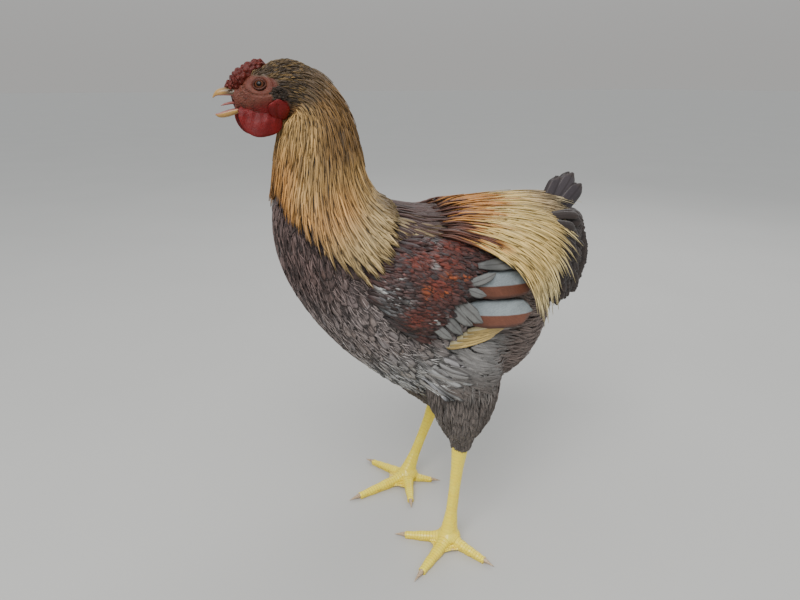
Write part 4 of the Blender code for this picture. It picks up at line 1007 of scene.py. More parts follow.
def make_fluff():
    """Down of belly and rump, and of the trunk round the thighs: loose tufts that wave as they lie back."""
    size, rng = plumage(), draws(2)
    drawn = size.fluff_count * 3
    p, q = rng.uniform(-0.6, 7.2, drawn), rng.uniform(-math.pi, math.pi, drawn)
    at = trunk(p, q)
    x, z = at[:, 0], at[:, 2]
    chance = np.maximum(ease((x - 0.04) / 0.015) * ease((0.335 - z) / 0.02),
                        ease((0.256 - z) / 0.012) * ease((x + 0.042) / 0.012))
    kept = np.flatnonzero(rng.random(drawn) < chance)[:size.fluff_count]
    p, q, at = p[kept], q[kept], at[kept]
    x, z, count = at[:, 0], at[:, 2], len(p)
    silver = ease((0.045 - x) / 0.02) * ease((x + 0.05) / 0.02) * ease((z - 0.19) / 0.02)
    reach = rng.uniform(0.016, 0.027, count) * (1 + 0.4 * silver)
    fall = 0.45 + spread(rng, 0.16, count) * (1 - 0.6 * silver)
    pp, qq = course(trunk, p, q, reach, -1.0, fall, WISP_AT, spread(rng, 0.16, count) * (1 - 0.6 * silver))
    wave = 0.0005 * np.sin(WISP_AT * 7 + rng.uniform(0, 6, (count, 1))) * WISP_AT
    rise = -0.0026 + (0.003 + spread(rng, 0.0005, count, 1)) * ease(WISP_AT * 1.2)
    centres = over_thighs(lifted(trunk, pp, qq, rise + wave), 0.0004)
    base = soft_marks(at) * varied(rng, 0.09, count, 1)
    base = base * (1 + 0.12 * np.sin(p * 3.1 + 2 * np.sin(q * 5)))[:, None]
    wide = rng.uniform(0.0012, 0.0023, count) * (1 + 0.7 * silver)
    return vanes("down", rng, centres, outward(trunk, pp, qq), wide, root_place(p, q),
                 {"base": base[:, None], "edge": base[:, None] * 1.15})


# Hackle
def hackle_marks(u, angle, share, lot):
    """Colours along the neck's feathers: umber streaked with straw on the crown, straw down the neck, gold
    along the front edge, pale at the hem, and dark with pale edges where the cape lies on the back.
    """
    turn = np.abs(angle)
    front = ease((turn - 2.05) / 0.55) * ease((14.8 - u) / 2.0)
    crown = ease((u - 15.6) / 1.3) * ease((2.4 - turn) / 0.6)
    nape = ease((u - 11.8) / 1.8) * ease((2.15 - turn) / 0.7)
    amber = ease((1.15 - np.abs(turn - 2.0)) / 0.5) * hump((u - 11.2) / 1.6)
    low_back = ease((0.95 - turn) / 0.5) * ease((11.0 - u) / 2.0)
    blot = (lot > 0.955) * ease((14.5 - u) / 1.0) * ease((u - 10.0) / 1.0) * hump((share - 0.6) / 0.5)
    gold, umber = paint("gold"), paint("umber")
    base = layered(paint("straw"), (paint("straw_pale"), ease((12.0 - u) / 3.0) * 0.8),
                   (gold * (0.38, 0.47, 0.6), nape * 0.9), (gold, front * 0.7), (gold * 1.15, amber * 0.45),
                   (umber * 1.4, crown * 0.85), (umber * 1.3, low_back * 0.9), (umber, blot))
    return base, mixed(base * 0.34, paint("straw_pale") * 0.8, np.maximum(crown * 0.8, low_back))


def make_hackle():
    """Neck feathers: narrow lances in close tiers from the nape down, the lowest spread into a cape.
    Returns two pieces, the upper tiers and the cape.
    """
    size, rng, share = plumage(), draws(3), LANCE_AT
    starts, angles, ends = [], [], []
    tiers = np.concatenate((np.linspace(18.4, 16.2, 14), np.linspace(15.95, 9.6, 30)))
    for number, root in enumerate(tiers):
        girth = 2.2 * math.pi * np.mean(rows_at(STATIONS, root)[4] + 0.012)
        count = int(girth / (size.hackle_width * 0.64))
        place = np.arange(count) + 0.5 * (number % 2) + rng.uniform(-0.4, 0.4, count)
        angle = (place / count * 2 - 1) * math.pi
        start = root + rng.uniform(-0.12, 0.12, count)
        start = start - 1.0 * ease(np.abs(angle) / math.pi) * ease((root - 15.5) / 1.5)
        fallen = np.interp(start, (9.0, 12.0, 14.0, 16.0, 18.4), (4.4, 4.0, 3.0, 2.1, 1.7))
        end = start - fallen * rng.uniform(0.8, 1.12, count)
        hem = cape_hem(angle) + rng.uniform(-0.25, 0.75, count)
        kept = start > hem + 0.9
        starts.append(start[kept])
        angles.append(angle[kept])
        ends.append(np.maximum(end, hem)[kept])
    start, angle, end = (np.concatenate(part) for part in (starts, angles, ends))
    count = len(start)
    lock = 2 * math.pi / 54
    drawn = np.round(angle / lock + rng.uniform(-0.3, 0.3, count)) * lock - angle
    u = start[:, None] + (end - start)[:, None] * share
    q = (angle[:, None] + (drawn * 0.55)[:, None] * ease(share)
         + spread(rng, 0.018, count)[:, None] * np.sin(share * 4))
    cape = (0.0015 + 0.0045 * np.abs(np.sin(q))) * ease((cape_hem(q) + 2.6 - u) / 2.0)
    throat = 0.007 * ease((np.abs(q) - 1.9) / 0.7) * hump((u - 15.1) / 2.6)
    rise = -0.005 + 0.0056 * ease(share * 1.5) + spread(rng, 0.0009, count, 1) * ease(share) + cape + throat
    centres, ups = lifted(trunk, u, q, rise), outward(trunk, u, q)
    lot = rng.random(count)
    base, edge = hackle_marks(u, q, np.broadcast_to(share, u.shape), lot[:, None])
    base = base * varied(rng, 0.2, count, 1, 1)
    dark = (rng.random((count, 1, 1)) < 0.12) * hump((share - 0.45) / 0.5)[None, :, None]
    base = base * (1 - 0.55 * dark)
    thin = np.interp(start, (12.0, 17.0, 18.4), (1.0, 0.75, 0.6))
    wide = size.hackle_width / 2 * rng.uniform(0.8, 1.2, count) * thin
    made = []
    for name, part in (("neck_hackle", start > 13.9), ("cape_hackle", start <= 13.9)):
        made.append(vanes(name, rng, centres[part], ups[part], wide[part],
                          root_place(start[part], angle[part]), {"base": base[part], "edge": edge[part]}))
    return made


def make_crown():
    """Short feathers of crown and nape behind the comb and the bare face, and a dark tuft over the ear."""
    rng, share = draws(10), WISP_AT
    drawn = 5200
    p, q = rng.uniform(16.6, 20.8, drawn), rng.uniform(-math.pi, math.pi, drawn)
    at = trunk(p, q)
    under_comb = (p > 19.0) & (np.abs(q) < 0.34)
    chance = (1 - bare_share(at) * 1.02) * ~under_comb * np.interp(p, (16.6, 17.6, 20.4), (0.3, 0.8, 1.0))
    ear = np.hypot(at[:, 0] - EAR_PLACE[0], at[:, 2] - EAR_PLACE[1])
    tuft = (ear > 0.0012) & (ear < 0.0062) & (rng.random(drawn) < 0.75)
    kept = (rng.random(drawn) < chance) & (ear > 0.003) | tuft
    p, q, at, ear = p[kept], q[kept], at[kept], ear[kept]
    count = len(p)
    reach = np.interp(p, (16.6, 18.0, 20.0), (0.0125, 0.0085, 0.005)) * rng.uniform(0.8, 1.15, count)
    reach = np.where(ear < 0.0068, 0.0046, reach)
    pp, qq = course(trunk, p, q, reach, -1.0, np.full(count, 0.1), share, spread(rng, 0.12, count))
    rise = -0.0006 + 0.0017 * ease(share * 1.4) + spread(rng, 0.0003, count, 1) * share
    rise = rise - np.interp(pp, (16.6, 17.6), (0.001, 0.0)) + np.maximum(face_form(pp, qq, trunk(pp, qq)), 0.0)
    low = ease((np.abs(q) - 1.9) / 0.4)
    base = mixed(paint("umber"), paint("straw") * 0.45, (rng.random(count) < 0.35) * 0.8)
    base = mixed(base, paint("gold") * 0.5, low * 0.6)
    base = base * varied(rng, 0.25, count, 1)
    pale = mixed(base, paint("straw_pale") * 0.7, rng.random(count) * 0.7)
    near = (ear < 0.0068)[:, None]
    base, pale = np.where(near, paint("umber") * 0.55, base), np.where(near, paint("umber") * 0.8, pale)
    return vanes("crown_feathers", rng, lifted(trunk, pp, qq, rise), outward(trunk, pp, qq),
                 rng.uniform(0.0005, 0.0009, count), root_place(p, q),
                 {"base": base[:, None], "edge": pale[:, None]})


def make_bristles():
    """Hair fine bristles scattered over the bare face and round the eye."""
    rng = draws(11)
    drawn = 900
    p, q = rng.uniform(17.6, 21.0, drawn), rng.uniform(-2.6, 2.6, drawn)
    at = trunk(p, q)
    eye = np.hypot(at[:, 0] - EYE_PLACE[0], at[:, 2] - EYE_PLACE[1])
    kept = (bare_share(at) > 0.5) & (eye > 0.0085) & (np.abs(q) > 0.7) & (rng.random(drawn) < 0.75)
    p, q = p[kept], q[kept]
    count = len(p)
    pp, qq = course(trunk, p, q, rng.uniform(0.0014, 0.003, count), -1.0, np.full(count, 0.2), BRISTLE_AT,
                    spread(rng, 0.25, count))
    base = paint("umber") * rng.uniform(0.6, 1.8, (count, 1, 1))
    return vanes("face_bristles", rng, lifted(trunk, pp, qq, 0.001 * BRISTLE_AT[None] + 0.00005),
                 outward(trunk, pp, qq), np.full(count, 0.00011), root_place(p, q),
                 {"base": base, "edge": base})


# Saddle
SADDLE_ROOTS = np.array(((3.1, 6.0), (3.1, 15.0), (3.2, 24.0), (3.4, 32.0), (3.7, 37.0)))
SADDLE_BENDS = np.array(((0.125, 0.01, 0.372), (0.132, 0.034, 0.36), (0.122, 0.066, 0.346),
                         (0.098, 0.088, 0.331), (0.075, 0.095, 0.317)))
SADDLE_TIPS = np.array(((0.191, 0.017, 0.337), (0.18, 0.038, 0.316), (0.15, 0.066, 0.293),
                        (0.11, 0.085, 0.272), (0.084, 0.092, 0.252)))
# Colour of the shade along the top of the saddle
SADDLE_DUSK = np.array((0.24, 0.175, 0.175))


def drape(t, s, forward, side):
    """Point of the saddle's drape, an arc for each t: t runs from ridge to wing, s from root to tip."""
    t, s, forward = np.broadcast_arrays(np.asarray(t, float), s, forward)
    row = t * (len(SADDLE_ROOTS) - 1)
    root = rows_at(SADDLE_ROOTS, row)
    start = lifted(trunk, root[..., 0] + forward, side * np.radians(root[..., 1]), 0.0026)
    mirror = np.array((1.0, side, 1.0))
    bend, tip = rows_at(SADDLE_BENDS, row) * mirror, rows_at(SADDLE_TIPS, row) * mirror
    return arc(start, bend, tip, s[..., None])


def saddle_marks(t, s, past):
    """Colours along the saddle's feathers: orange gold for a little way past the dark roots, less of it low
    down, then straw, paler by the tail.
    """
    turned = np.maximum(ease((s - 0.28) / 0.3), ease((past - 0.038 * (1 - t)) / 0.028))
    turned = np.maximum(turned, ease((t - 0.5) / 0.2) * ease(past / 0.015))
    base = layered(paint("gold") * 1.05, (paint("saddle"), turned),
                   (paint("saddle_pale"), ease((s - 0.5) / 0.4) * (1 - 0.25 * t)))
    base = base * (1 + 0.16 * ease((t - 0.45) / 0.3))[..., None]
    return mixed(base, SADDLE_DUSK, ease((0.4 - t) / 0.3) * hump((s - 0.62) / 0.35) * 0.5)


def make_saddle():
    """Saddle: long narrow feathers from both sides of the ridge, falling past the wing in overlapping
    tiers. By the tail they thin out into single strands.
    """
    size, rng, share = plumage(), draws(4), LANCE_AT
    sets = []
    for side in (-1, 1):
        count = 840
        column, tier = np.arange(count) % 70, np.arange(count) // 70
        t = -0.14 + 1.17 * (column + rng.uniform(-0.6, 0.6, count)) / 69.0
        forward = 0.18 * tier + rng.uniform(-0.16, 0.16, count) * (1 + 0.25 * tier) - 0.3
        reach = np.interp(tier, (0, 3, 6, 9, 11), (1.0, 0.88, 0.7, 0.42, 0.22)) * rng.uniform(0.8, 1.04, count)
        single = rng.random(count) < np.interp(t, (0.0, 0.2, 0.75, 0.9), (0.25, 0.1, 0.14, 1.0))
        reach = reach * np.interp(t, (0.0, 0.1, 0.5, 0.8), (0.97, 0.84, 0.88, 1.0))
        dense = np.interp(t, (0.0, 0.3, 0.6, 0.9), (0.74, 0.6, 0.7, 1.0)) * rng.uniform(0.8, 1.08, count)
        reach = np.where(single, reach, np.minimum(reach, dense))
        s = share[None] * reach[:, None]
        lock = np.round(t * 17 + rng.uniform(-0.35, 0.35, count)) / 17 - t
        tt = t[:, None] + (0.6 * lock)[:, None] * ease(share * 1.1) + spread(rng, 0.02, count, 1) * s
        centres = drape(tt, s, forward[:, None], side)
        across = drape(tt + 0.01, s, forward[:, None], side) - drape(tt - 0.01, s, forward[:, None], side)
        ups = unit(np.cross(across, np.gradient(centres, axis=1))) * -side
        lift = (0.0002 + 0.0003 * tier + rng.uniform(-0.0002, 0.0007, count))[:, None] * ease(share * 2.5)
        centres = centres + ups * lift[..., None]
        start = 0.014 + 0.012 * t + 0.015 * np.sin(t * 47 + 2 * np.sin(t * 19)) + rng.normal(0, 0.006, count)
        start = start + 0.014 * ease((0.25 - t) / 0.25)
        base = saddle_marks(tt, s, centres[..., 0] - start[:, None])
        rust = ease((start[:, None] + 0.008 - centres[..., 0]) / 0.018)
        base = mixed(base, mixed(paint("rust"), paint("maroon"), 0.75), rust * 0.93)
        base = base * varied(rng, 0.2, count, 1, 1)
        wide = size.saddle_width / 2 * rng.uniform(0.75, 1.2, count)
        # edge: dark sides of each strand, partly the strand's own dark edge and partly painted shade of the
        # gaps between strands
        sets.append((centres, ups, wide, root_place(3.2 + forward, side * (0.1 + t * 0.7)),
                     {"base": base, "edge": base * (0.3 + 0.25 * ease((s - 0.3) / 0.4))[..., None]}))
    return vanes("saddle_hackle", rng, *gathered(sets))


# Wing
WING_X = (-0.086, -0.076, -0.05, 0.0, 0.03)
WING_TOP = (0.318, 0.333, 0.339, 0.333, 0.326)
WING_LOW = (0.3, 0.28, 0.262, 0.254, 0.254)


def wing_lift(x, z):
    """Height of the folded arm off the trunk: it swells between its edges and thins out backwards."""
    share = np.clip((x - WING_X[0]) / (WING_X[-1] - WING_X[0]), 0.0, 1.0)
    top, low = np.interp(x, WING_X, WING_TOP), np.interp(x, WING_X, WING_LOW)
    across = np.clip((top - z) / (top - low), 0.04, 0.96)
    swell = np.sin(math.pi * across)**0.6
    return 0.0012 + 0.0078 * swell * ease(share * 3.5 + 0.05) * (1 - 0.62 * ease(share * 1.6 - 0.6))


# Large wing feathers: name of the row, then of each feather x and z of root and tip, and its half width
QUILLS = {
    "primary": ((0.006, 0.2575, 0.058, 0.259, 0.005), (0.0, 0.2535, 0.056, 0.2565, 0.005),
                (-0.006, 0.249, 0.052, 0.2535, 0.005), (-0.011, 0.2445, 0.047, 0.2505, 0.0048),
                (-0.015, 0.2405, 0.04, 0.2475, 0.0045)),
    "secondary": ((0.0, 0.3035, 0.084, 0.2955, 0.014), (0.0, 0.2765, 0.082, 0.2645, 0.0145)),
    "covert": ((0.014, 0.3155, 0.082, 0.3145, 0.0068), (0.0, 0.304, 0.034, 0.3085, 0.0048),
               (-0.004, 0.301, 0.021, 0.2905, 0.0046), (-0.008, 0.292, 0.015, 0.2665, 0.0066),
               (-0.02, 0.2935, 0.005, 0.264, 0.007), (-0.03, 0.285, -0.003, 0.2585, 0.006),
               (-0.038, 0.277, -0.014, 0.2545, 0.005)),
}
# For each row: lift at the root and the tip, share that each feather lies under the one above, name of the
# upper colour, of the lower colour and of the edge
QUILL_LOOKS = {
    "primary": (0.0018, 0.0026, 0.0004, "saddle_pale", "saddle", "umber"),
    "secondary": (0.004, 0.006, 0.0008, "slate", "chestnut", "soot"),
    "covert": (0.0068, 0.0092, 0.0003, "covert", "covert", "soot"),
}


def make_quills(name, rng):
    """One row of large feathers on both wings: each lies along its own line and over the next one below."""
    low_lift, high_lift, under, upper, lower, rim = QUILL_LOOKS[name]
    lines = np.array(QUILLS[name])
    count = len(lines)
    sets = []
    for side in (-1, 1):
        root = lines[:, 0:2] + rng.normal(0, 0.0008, (count, 2))
        tip = lines[:, 2:4] + rng.normal(0, 0.0014, (count, 2)) * (1.0, 0.6)
        plan = root[:, None] + (tip - root)[:, None] * BLADE_AT[:, None]
        sag = 0.0012 * BLADE_AT * (1 - BLADE_AT) * 4
        u, angle = trunk_at(plan[..., 0], plan[..., 1] - sag, side)
        lift = low_lift + (high_lift - low_lift) * ease(BLADE_AT * 1.5) - under * np.arange(count)[:, None]
        centres, ups = lifted(trunk, u, angle, lift), outward(trunk, u, angle)
        across = unit(np.cross(ups, np.gradient(centres, axis=1)))
        ups = unit(ups - across * 0.12 * side)
        shade = 1 + spread(rng, 0.08, count, 1, 1)
        tints = {"base": paint(upper) * shade, "lower": paint(lower) * shade, "edge": paint(rim) * shade}
        sets.append((centres, ups, lines[:, 4], root_place(u[:, 0], angle[:, 0]), tints,
                     np.full(count, -side)))
    return vanes(name, rng, *gathered(sets))


def make_filoplumes():
    """Hair-fine strands over breast and flank, lighter or darker than the feathers they lie along."""
    size, rng = plumage(), draws(12)
    count = size.strand_count
    p, q = rng.uniform(1.0, 12.2, count), rng.uniform(-math.pi, math.pi, count)
    at = trunk(p, q)
    x, z = at[:, 0], at[:, 2]
    soft = ((x > -0.02) & (z < 0.25)) | (x > 0.04)
    wing = (z > np.interp(x, WING_X, WING_LOW)) & (x > WING_X[0] - 0.004)
    kept = (p < cape_hem(q) + 0.6) & ~soft & ~wing
    p, q, at = p[kept], q[kept], at[kept]
    count = len(p)
    reach = rng.uniform(0.01, 0.019, count)
    fall = 0.08 - 0.16 * flank_share(at) + spread(rng, 0.22, count)
    pp, qq = course(trunk, p, q, reach, -1.0, fall, WISP_AT, spread(rng, 0.25, count))
    rise = -0.0006 + (0.0012 + 0.0005 * rng.random((count, 1))) * ease(WISP_AT * 1.6)
    centres = over_thighs(lifted(trunk, pp, qq, rise), 0.0022)
    lit = rng.random((count, 1)) < 0.5
    glow = np.where(lit, rng.uniform(1.2, 2.3, (count, 1)), rng.uniform(0.3, 0.7, (count, 1)))
    base = body_marks(at)[0] * glow
    return vanes("filoplumes", rng, centres, outward(trunk, pp, qq), rng.uniform(0.0003, 0.0007, count),
                 root_place(p, q), {"base": base[:, None], "edge": base[:, None]})


# Patches of colour on the shoulder of the wing: x, z, reach in x and z, and the name of the colour
BOW_PATCHES = (
    (-0.045, 0.328, 0.022, 0.009, "rust"), (-0.018, 0.323, 0.02, 0.011, "rust"),
    (-0.047, 0.279, 0.017, 0.013, "rust"), (-0.004, 0.336, 0.026, 0.009, "rust"),
    (-0.028, 0.303, 0.018, 0.012, "rust"), (-0.076, 0.304, 0.014, 0.012, "flank"),
    (-0.03, 0.272, 0.01, 0.01, "flank"), (-0.041, 0.304, 0.005, 0.01, "ember"),
    (-0.016, 0.311, 0.011, 0.004, "ember"), (0.001, 0.307, 0.004, 0.005, "ember"),
    (-0.024, 0.299, 0.006, 0.004, "ember"), (-0.022, 0.336, 0.007, 0.003, "silver"),
    (-0.03, 0.321, 0.004, 0.005, "silver"), (-0.064, 0.316, 0.004, 0.003, "silver"),
    (-0.058, 0.296, 0.004, 0.003, "silver"),
)
# Chance that a feather at the middle of a patch takes its colour
BOW_CHANCES = {"rust": 0.85, "flank": 0.3, "ember": 0.7, "silver": 0.45}
# Front edge of these feathers: its heights, and x at each
BOW_FRONT = (0.262, 0.285, 0.3, 0.314, 0.324, 0.332), (-0.05, -0.032, -0.014, -0.002, 0.022, 0.042)


def make_wing_bow():
    """Shoulder of the wing: small feathers over the arm, maroon with patches of red, orange and grey."""
    rng = draws(5)
    sets = []
    for side in (-1, 1):
        count = 2750
        x = rng.uniform(-0.092, 0.042, count)
        top, low = np.interp(x, WING_X, WING_TOP) + 0.008, np.interp(x, WING_X, WING_LOW) - 0.002
        z = top + (low - top) * rng.random(count)
        kept = x < np.interp(z, *BOW_FRONT)
        x, z = x[kept], z[kept]
        count = len(x)
        reach = rng.uniform(0.014, 0.025, count)
        fall = rng.normal(0.38, 0.1, count) + 0.25 * np.sin(x * 160 + z * 90) * 0.4
        plan_x = x[:, None] + reach[:, None] * LEAF_AT * np.cos(fall)[:, None]
        plan_z = z[:, None] - reach[:, None] * LEAF_AT * np.sin(fall)[:, None]
        u, angle = trunk_at(plan_x, plan_z, side)
        lift = (wing_lift(plan_x, plan_z) - 0.0004 + 0.0024 * ease(LEAF_AT * 1.1)
                + spread(rng, 0.0002, count, 1))
        base = paint("maroon") * np.exp(0.45 * rng.standard_normal((count, 1, 1)).clip(-2, 2))
        dusk = (rng.random((count, 1)) < 0.3) * rng.uniform(0.3, 0.9, (count, 1))
        base = mixed(base, paint("slate") * (0.18, 0.15, 0.15), dusk * np.ones(len(LEAF_AT)))
        slate = hump(np.hypot((plan_x + 0.072) / 0.026, (plan_z - 0.295) / 0.022) * 0.8)
        blue = mixed(paint("soot"), paint("slate"), rng.random((count, 1))**2 * 0.55)
        base = mixed(base, blue, slate * 0.8)
        for px, pz, rx, rz, tint in BOW_PATCHES:
            near = hump(np.hypot((plan_x - px) / rx, (plan_z - pz) / rz) * 0.62)
            struck = rng.random(count) < near.max(axis=1) * BOW_CHANCES[tint]
            drawn = struck[:, None] * rng.uniform(0.3, 1.0, (count, 1))
            base = mixed(base, paint(tint), near * 1.4 * drawn * ease((LEAF_AT - 0.3) / 0.4))
        base = base * varied(rng, 0.18, count, 1, 1)
        pale = (rng.random((count, 1)) < 0.12) * 0.6
        edge = mixed(base * 0.55, paint("back_edge"), pale)
        sets.append((lifted(trunk, u, angle, lift), outward(trunk, u, angle),
                     rng.uniform(0.0012, 0.0027, count), root_place(u[:, 0], angle[:, 0]),
                     {"base": base, "edge": edge}))
    return vanes("wing_bow", rng, *gathered(sets))


# Tail
TAIL_TIPS = ((0.156, 0.002, 0.384), (0.172, 0.003, 0.387), (0.184, 0.004, 0.374), (0.187, 0.013, 0.33),
             (0.188, 0.021, 0.31), (0.184, 0.027, 0.29), (0.174, 0.03, 0.268))
COVERT_TIPS = ((0.172, 0.024, 0.314), (0.163, 0.036, 0.29), (0.146, 0.044, 0.266))
TAIL_ROOT_X = 0.138
COVERTS = 200


def make_tail():
    """Main feathers fanned in two leaning rows from the rump, with softer dark coverts over their roots."""
    size, rng = plumage(), draws(6)
    share = BLADE_AT[:, None]
    tips, covert_tips = np.array(TAIL_TIPS), np.array(COVERT_TIPS)
    made = []
    for side in (-1, 1):
        for k in np.concatenate((np.arange(0.0, 3.0), np.arange(3.0, 6.6, 0.12))):
            lean = np.interp(k, (2, 3, 6), (0.0, 0.35, 0.9))
            across = side * (0.0015 + 0.0016 * max(k - 1, 0))
            root = np.array((TAIL_ROOT_X - 0.012, across, 0.331 - 0.0055 * k))
            tip = rows_at(tips, k) * (1.0, side, 1.0) - np.array((0.0012 * rng.random() * (k > 3), 0.0, 0.0))
            bend = (root + tip) / 2 + (0.01, 0.0, 0.004)
            width = size.tail_width / 2 * (1.0 if k < 3 else 1.15)
            up = (0.0, side * math.cos(lean), math.sin(lean))
            made.append((arc(root, bend, tip, share), up, width, float(k < 3)))
        for k in range(COVERTS):
            mix = rng.uniform(-1.2, 2.4)
            out = max(k - 90, 0) / 110
            tip = rows_at(covert_tips, mix) + rng.normal(0, 0.0025, 3) + np.array((-0.03, 0.026, 0.008)) * out
            tip = tip * (1.0, side, 1.0)
            across = side * (0.008 + 0.004 * mix + 0.03 * out)
            root = np.array((TAIL_ROOT_X - 0.022 - 0.016 * out, across, 0.332 - 0.012 * mix))
            root = root + rng.normal(0, 0.003, 3)
            bend = (root + tip) / 2 + (0.008, side * 0.009, 0.007)
            made.append((arc(root, bend, tip, share), (0.0, side * 0.9, 0.45), rng.uniform(0.004, 0.007), 0.0))
    centres, ups, wide, tone = (np.array(part) for part in zip(*made))
    count = len(centres)
    # painted sheen: the upper row of main feathers is coloured violet for the tail's sheen, the others and the
    # coverts soot
    base = mixed(paint("soot"), paint("violet_sheen"), tone)[:, None]
    base = base * (1 + 0.2 * rng.standard_normal((count, 1, 1)).clip(-1, 2))
    roots = np.column_stack((rng.uniform(0.9, 0.98, count), np.linspace(0.05, 0.95, count)))
    return vanes("tail_feathers", rng, centres, np.repeat(unit(ups)[:, None], len(share), axis=1), wide, roots,
                 {"base": base, "edge": paint("soot_edge")[None, None]})


def make_comb():
    """Low rose comb: a pad on the crown whose top is raised by many round points, and its leader."""
    rng = draws(7)
    s, turn = grid(0.0, 1.0, 110, 72)
    across, over = np.cos(turn), np.sin(turn)
    u = COMB_REAR + (COMB_FRONT - COMB_REAR) * s
    half = np.interp(s, (0.0, 0.12, 0.3, 0.6, 0.85, 0.97, 1.0),
                     (0.0004, 0.0028, 0.0048, 0.006, 0.0052, 0.0028, 0.0004))
    half = half * (1 + 0.07 * np.sin(s * 31) + 0.05 * np.sin(s * 53 + np.sign(across)))
    tall = np.interp(s, (0.0, 0.05, 0.14, 0.35, 0.6, 0.85, 0.96, 1.0),
                     (0.0004, 0.0046, 0.0072, 0.0082, 0.008, 0.0068, 0.0038, 0.0004))
    length_of, girth = 0.0138 * (COMB_FRONT - COMB_REAR), 0.0078
    spots = np.array([(0.03 + 0.94 * i / 10, (j - 2.5 + 0.5 * (i % 2)) * 0.5)
                      for i in range(11) for j in range(6)])
    spots = spots + rng.normal(0, 0.016, spots.shape) * (1, 4)
    sizes = rng.uniform(0.0016, 0.0025, len(spots))
    place = np.stack((s * length_of, (turn - math.pi / 2) * girth), axis=-1)
    off = np.linalg.norm(place[..., None, :] - spots * (length_of, girth), axis=-1) / sizes
    bumps = ((1 - off.clip(0, 1)**1.7) * sizes * 0.85).max(axis=-1) * ease((over + 0.25) / 0.4)
    grain = 0.0001 * np.sin(s * 300 + 3 * np.sin(turn * 9)) * np.sin(turn * 37)
    bumps = (bumps + grain) * ease(s / 0.05) * ease((1 - s) / 0.05)
    angle = across * (half + bumps * 0.9) / np.maximum(rows_at(STATIONS, u)[..., 4], 0.006)
    body = np.where(over > 0, 0.0004 + tall * np.abs(over)**0.8, -0.0012 * np.abs(over))
    return loft("comb_flesh", lifted(trunk, u, angle, body + bumps * over.clip(0, 1)))


def make_wattle(side):
    """Round wattle hung from the lower jaw: flat rings that start thin inside the cheek, widen and shorten
    again downwards, folded and finely creased.
    """
    s, a = grid(-0.3, 0.995, 76, 72)
    reach = 0.018 * np.sqrt(np.clip(1 - (s * 1.4 - 0.4)**2, 0.004, 1.0))
    thick = np.interp(s, (-0.3, -0.1, 0.1, 0.4, 0.9, 1.0), (0.0004, 0.0011, 0.0018, 0.0024, 0.0017, 0.0005))
    x = -0.1632 + 0.004 * s + reach * np.cos(a)
    fold = 0.0011 * np.sin(3.2 * (x + 0.164) / 0.018 + 2.0 * s) * ease(s * 2)
    crease = 0.0003 * np.sin((x + 0.164) / 0.0011 + 5.0 * s) * hump((s - 0.25) / 0.6)
    grain = 0.0001 * np.sin(x / 0.00045 + 2 * np.sin(s * 40)) * np.sin(s * 110 + 2 * np.sin(x / 0.0015))
    middle = side * (0.0106 + 0.004 * s - 0.0045 * ease(0.05 - s * 2.2))
    y = middle + (thick + crease + grain) * np.sin(a) + fold * side
    z = 0.4562 - 0.0215 * s + 0.0012 * np.sin((x + 0.164) / 0.006) * ease(s)
    return loft(f"wattle_{SIDE_NAMES[side]}_flesh", np.stack((x, y, z), axis=-1))


def make_earlobe(side):
    """Soft lobe below the ear: an uneven oval, thinner towards the wattle, with a fold and fine grain."""
    u, angle = trunk_at(-0.1472, 0.4575, side)
    centre, way = lifted(trunk, u, angle, 0.001), outward(trunk, u, angle)
    along = unit(np.array((1.0, 0.0, 0.0)) - way * way[0])
    up = np.array((0.0, 0.0, 1.0)) - way * way[2] - along * along[2]
    lat, turn = grid(0.03, math.pi - 0.03, 44, 56)
    flat = np.sin(lat)
    wave = 1 + 0.07 * np.sin(turn * 2 + 0.6) + 0.04 * np.sin(turn * 5)
    a, b = flat * np.cos(turn) * wave, flat * np.sin(turn) * wave
    thick = 0.0024 * (1 - 0.35 * hump((a + 0.15) / 0.35) * (b < 0.6))
    thick = thick + 0.00012 * np.sin(a * 40) * np.sin(b * 37)
    rings = (centre + along * (0.0088 * a - 0.0014 * b)[..., None]
             + unit(up) * (0.01 * b - 0.001 * a)[..., None] + way * (np.cos(lat) * thick)[..., None])
    return loft(f"earlobe_{SIDE_NAMES[side]}_flesh", rings)


def make_lids(side):
    """Lids: a slim round fold carried along an almond line that hugs the eyeball, thicker above."""
    centre, way = eye_place(side)
    along = unit(np.array((1.0, 0.0, 0.0)) - way * way[0])
    up = np.cross(way, along) * side
    up = up * np.sign(up[2])
    a, b = np.meshgrid(around(96), around(16), indexing="ij")
    corner = 1 + 0.1 * np.abs(np.cos(a))**6
    flat = EYE_RADIUS * (along * (0.84 * np.cos(a) * corner)[..., None]
                         + up * (0.66 * np.sin(a) - 0.03)[..., None])
    depth = np.sqrt(np.maximum((EYE_RADIUS * 1.01)**2 - (flat**2).sum(axis=-1), 0.0))
    line = centre + flat + way * depth[..., None]
    out = unit(flat)
    girth = 0.00042 + 0.0003 * ease(np.sin(a)) + 0.00004 * np.sin(a * 17)
    rim = (out * np.cos(b)[..., None] * 1.5 + way * np.sin(b)[..., None]) * girth[..., None]
    rings = line + rim + out * 0.0004
    return put(f"lids_{SIDE_NAMES[side]}", rings, ring_faces(*a.shape, closed=True))


def make_eye(side):
    """Eyeball: a ball with its poles on the way it looks, and the cornea swelling a little in front."""
    centre, way = eye_place(side)
    along = unit(np.cross(way, (0.0, 0.0, 1.0)))
    up = np.cross(along, way)
    lat, turn = grid(0.02, math.pi - 0.02, 48, 64)
    radius = EYE_RADIUS * (1 + 0.03 * ease((0.75 - lat) / 0.5)) * 0.985
    ball = (way * np.cos(lat)[..., None] + along * (np.sin(lat) * np.cos(turn))[..., None]
            + up * (np.sin(lat) * np.sin(turn))[..., None])
    return loft(f"eyeball_{SIDE_NAMES[side]}", centre + radius[..., None] * ball,
                {"from_axis": lat, "round_axis": turn})


